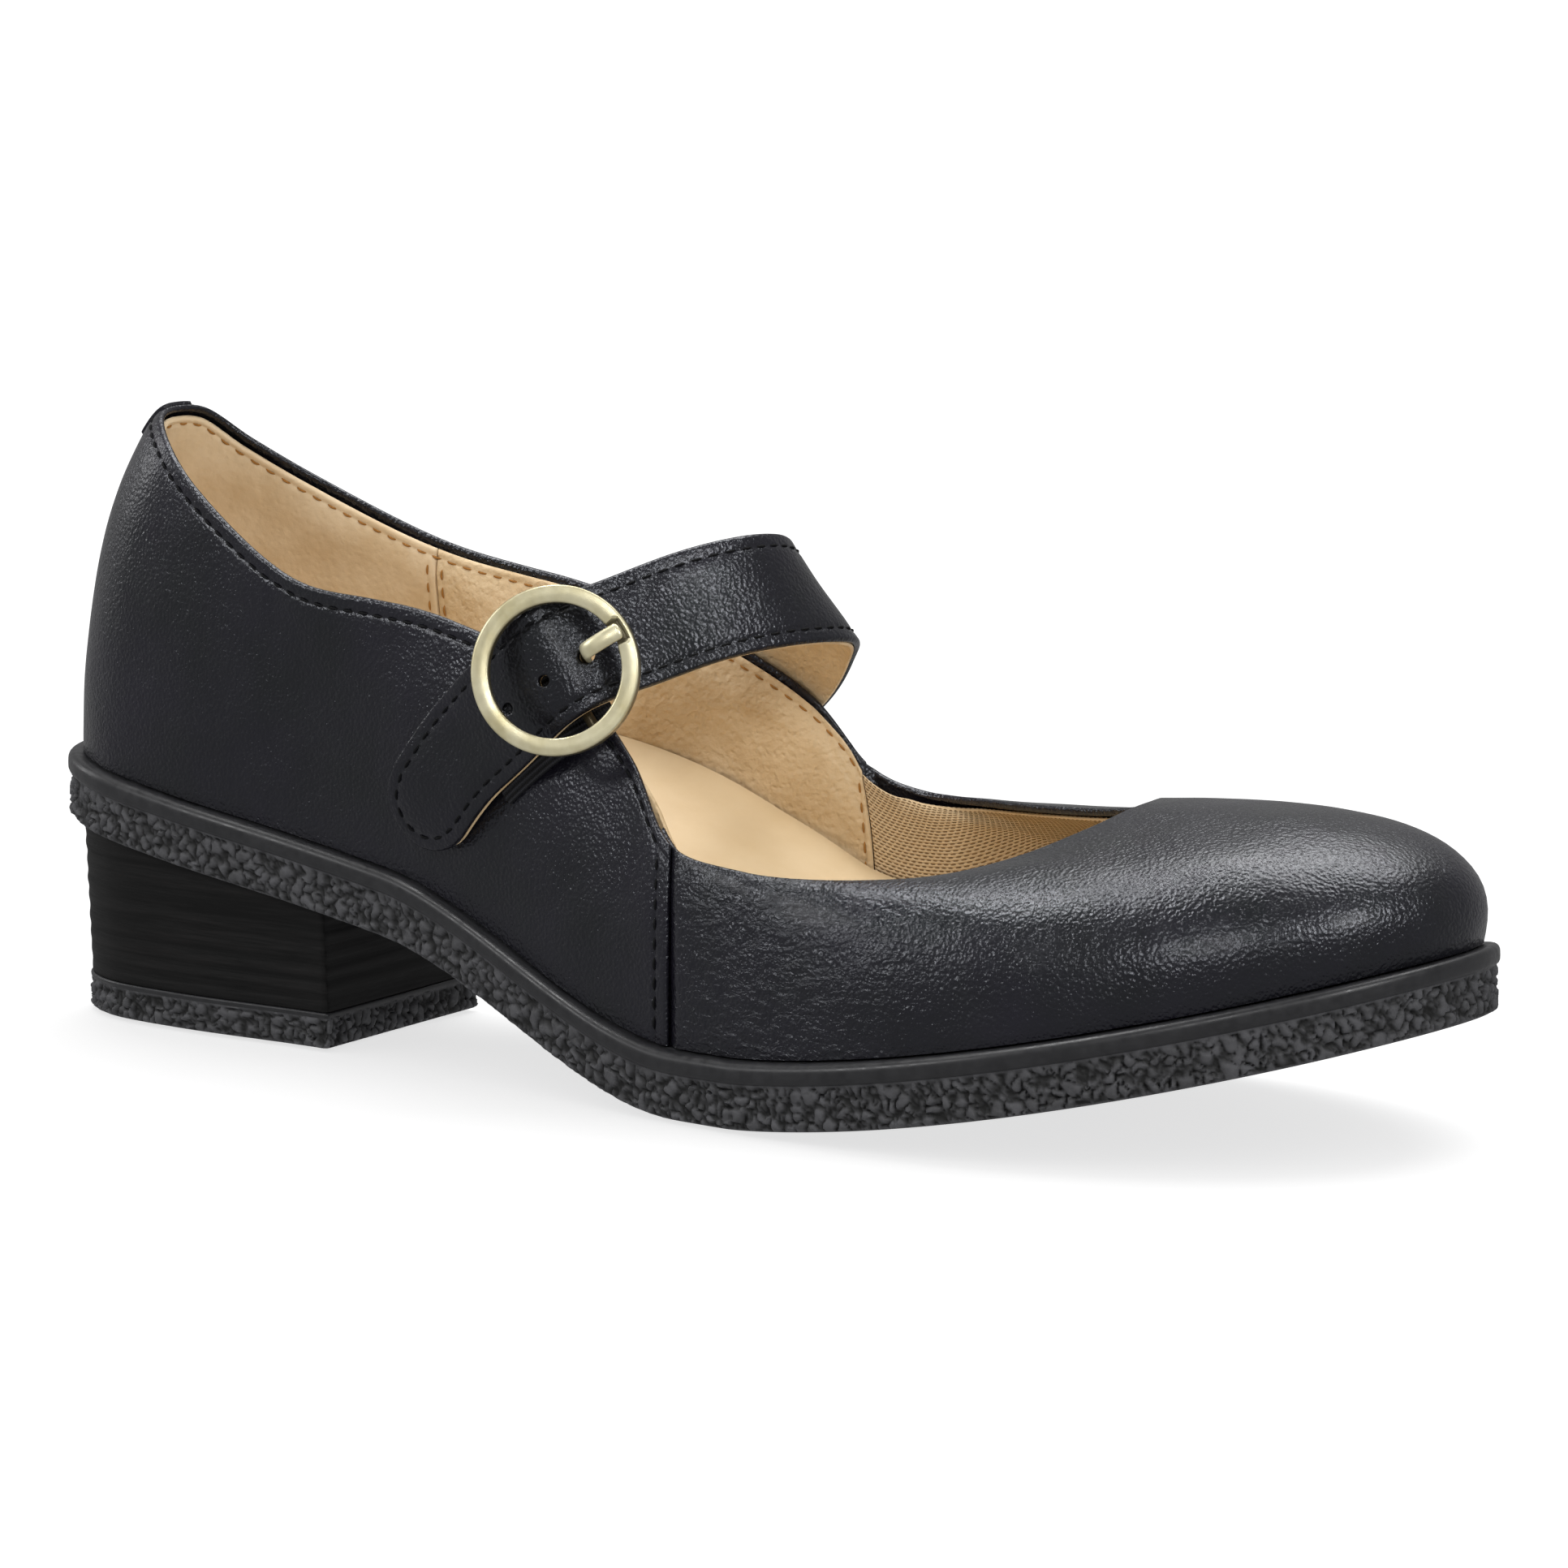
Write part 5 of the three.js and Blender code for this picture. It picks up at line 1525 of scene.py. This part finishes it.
def bar_route():
    """Middle line of the bar: down from the ring's band, across behind the strap, and up again."""
    middle = RING_OUTER_RADIUS - RING_BAND / 2
    bend = 1.4
    down = BAR_DEPTH - bend
    left = [(0, -middle, z) for z in (RING_LIFT + 0.9, -0.5, -down)]
    arc = np.radians([22, 45, 68])
    left += [(0, -middle + bend * (1 - math.cos(a)), -down - bend * math.sin(a)) for a in arc]
    flat = [(0, y, -BAR_DEPTH) for y in np.linspace(-middle + bend, middle - bend, 7)]
    return left + flat + [(x, -y, z) for x, y, z in left[::-1]]


def make_prong():
    eye = EYE_RADIUS - 0.3
    rest = RING_LIFT + RING_THICKNESS - 0.05
    around = np.radians(np.linspace(60, 330, 14))
    loop = [(eye * math.cos(a), -BAR_DEPTH + eye * math.sin(a)) for a in around]
    shaft = [
        (2.6, -BAR_DEPTH - 0.35), (4.0, -BAR_DEPTH + 0.1), (4.9, -2.6), (5.2, -1.0), (5.4, 0.6),
        (5.8, rest - 0.4), (7.0, rest + 0.2), (9.2, rest + 0.35), (11.4, rest + 0.15), (12.7, rest),
    ]
    knots = Curve([(x, 0, z) for x, z in loop + shaft])
    route = knots.at(np.linspace(0, knots.last, 150))
    left = np.linalg.norm(route - route[-1], axis=1)
    radii = 0.72 * np.sqrt(1 - (1 - np.minimum(left / 0.75, 1))**2 + 1e-3)
    sides = 20
    up = strap_frame(np.array(float(SEAT)))[2]
    points, faces = tube(on_seat(route), radii, sides, up, flatten=(1.95, 0.85))
    # Painted shade: the rod is darker the lower it lies, under the strap and ring.
    shade_mask = np.clip(1.2 - np.repeat(route[:, 2] + 1.5, sides), 0, 1)
    piece = Piece("buckle_prong_rod").add(points, faces, BRASS, patina=shade_mask)
    piece_on("prong", piece.build(), "antique_brass", "buckle_prong")


def make_elastic():
    """Elastic strip from the bar down under the strap's tail, wider than the strap's shadow."""
    half = 8.6
    toward_toe = -3.0
    at_bar = BAR_DEPTH + BAR_RADIUS + 0.15
    steps = 76
    stops = np.linspace(SEAT - 0.28, SEAT + 1.1, steps)
    origin, _, across, outward = strap_frame(stops)
    settled = smoothstep(stops - SEAT, 0.12, 0.5)
    depth = lerp(at_bar, STRAP_STACK + GAP, settled)
    centre = origin - outward * depth[:, None] + across * toward_toe
    y = np.linspace(-half, half, 33)
    face = centre[:, None] + across[:, None] * y[None, :, None]
    points, faces = two_sided(face, face - outward[:, None] * ELASTIC_THICKNESS)
    across_it, along_it = np.broadcast_arrays(y[None, :], run_along(centre)[:, None])
    weave = on_both_sides(np.stack([across_it, along_it, np.zeros((steps, len(y)))], axis=-1))
    piece = Piece("elastic_gore").add(points, faces, ELASTIC, weave=weave)
    obj = piece.build()
    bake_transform(obj)
    finish_piece(obj, "elastic", "buckle_elastic")


# ------------------------------------------------------------------ small parts and hidden ones
TAB_HALF_WIDTH = 6.5
TAB_STAND = 0.55
BACK_HEIGHT = 62          # mm of skin from the sole to the topline at the back


def make_back_stay():
    """A short tab of leather over the top of the back seam."""
    ribs = np.linspace(RIB_COUNT - 0.6, RIB_COUNT + 0.6, 60)
    rises = np.linspace(0.82, 0.992, 40)
    middle = (ribs[0] + ribs[-1]) / 2
    side = (1 - np.abs(ribs - middle) / (ribs[-1] - middle)) * TAB_HALF_WIDTH
    reach = (rises - rises[0]) * BACK_HEIGHT
    margin = np.minimum(side[:, None], reach[None, :])
    edge = np.minimum(margin, (rises[-1] - rises)[None, :] * BACK_HEIGHT)
    stand = TAB_STAND - rounded(np.clip(edge, 0, None), 0.5)
    face = under(ribs[:, None], rises[None, :], -stand)
    back = under(ribs[:, None], rises[None, :], 0.05)
    points, faces = two_sided(face, back)
    obj = Piece("back_tab").add(points, faces, BLACK).build()
    piece_on("shoe", obj, "black_leather", "back_stay")


def dress_hidden_nodes():
    """Materials for the CAD nodes inside the shoe, which stay as they are."""
    steel = plain("steel", "b4b6ba", "86888c", 0.35, 0.02, metallic=1)
    looks = {
        "heel_core": plain("heel_core", "55565a", "3c3d40", 0.8, 0.1),
        "bottom_filler": plain("cork", "a57c4d", "6d4c2a", 0.95, 0.3),
        "insole_board": plain("board", "9a907d", "7d7464", 0.9, 0.1),
        "heel_counter": plain("stiffener", "d8d4ca", "bdb8aa", 0.85, 0.08),
        "toe_puff": plain("puff", "d8d4ca", "bdb8aa", 0.85, 0.08),
    }
    for name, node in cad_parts.items():
        material = looks.get(name)
        if name.startswith(("heel_screw", "heel_nail", "shank")):
            material = steel
        if material:
            node.data.materials.clear()
            node.data.materials.append(material)


def make_floor():
    finish = Finish("floor", "f4f4f4", 0.9, Specular_IOR_Level=0.1, Emission_Strength=0.68)
    finish.shader.inputs["Emission Color"].default_value = (1, 1, 1, 1)
    finish.colour(finish.mix(finish.noise(900), "f3f3f3", "f6f6f6"))
    bpy.ops.mesh.primitive_plane_add(size=24, location=(0, 0, -0.0006))
    floor = bpy.context.active_object
    floor.name = "floor"
    floor.data.materials.append(finish.material)
    floor.visible_glossy = False
    return floor


make_camera()
make_world(0.33)
make_sky_light(0.85)
floor = make_floor()
lights = (
    ("overhead", (0.1, 0.45, 1.1), (1.0, 0.2), 6),
    ("overhead_front", (-0.4, -0.1, 1.15), (0.6, 0.2), 6),
    ("front_left", (-0.9, -1.1, 0.85), (0.2, 0.45), 6),
    ("front_right", (0.6, -1.25, 0.85), (0.2, 0.5), 5),
    ("left_back", (-1.25, 0.0, 0.6), (0.2, 0.7), 2),
    ("right_front", (1.2, -0.4, 0.75), (0.2, 0.5), 7),
)
for name, place, size, power in lights:
    soft_light(name, place, size, power, floor)
make_upper()
make_upper_stitches()
make_linings()
make_lining_stitches()
make_footbed()
make_outsole()
make_heel()
make_top_lift()
make_strap()
make_ring()
make_prong()
make_elastic()
make_back_stay()
dress_hidden_nodes()
scene.view_settings.view_transform = "Standard"
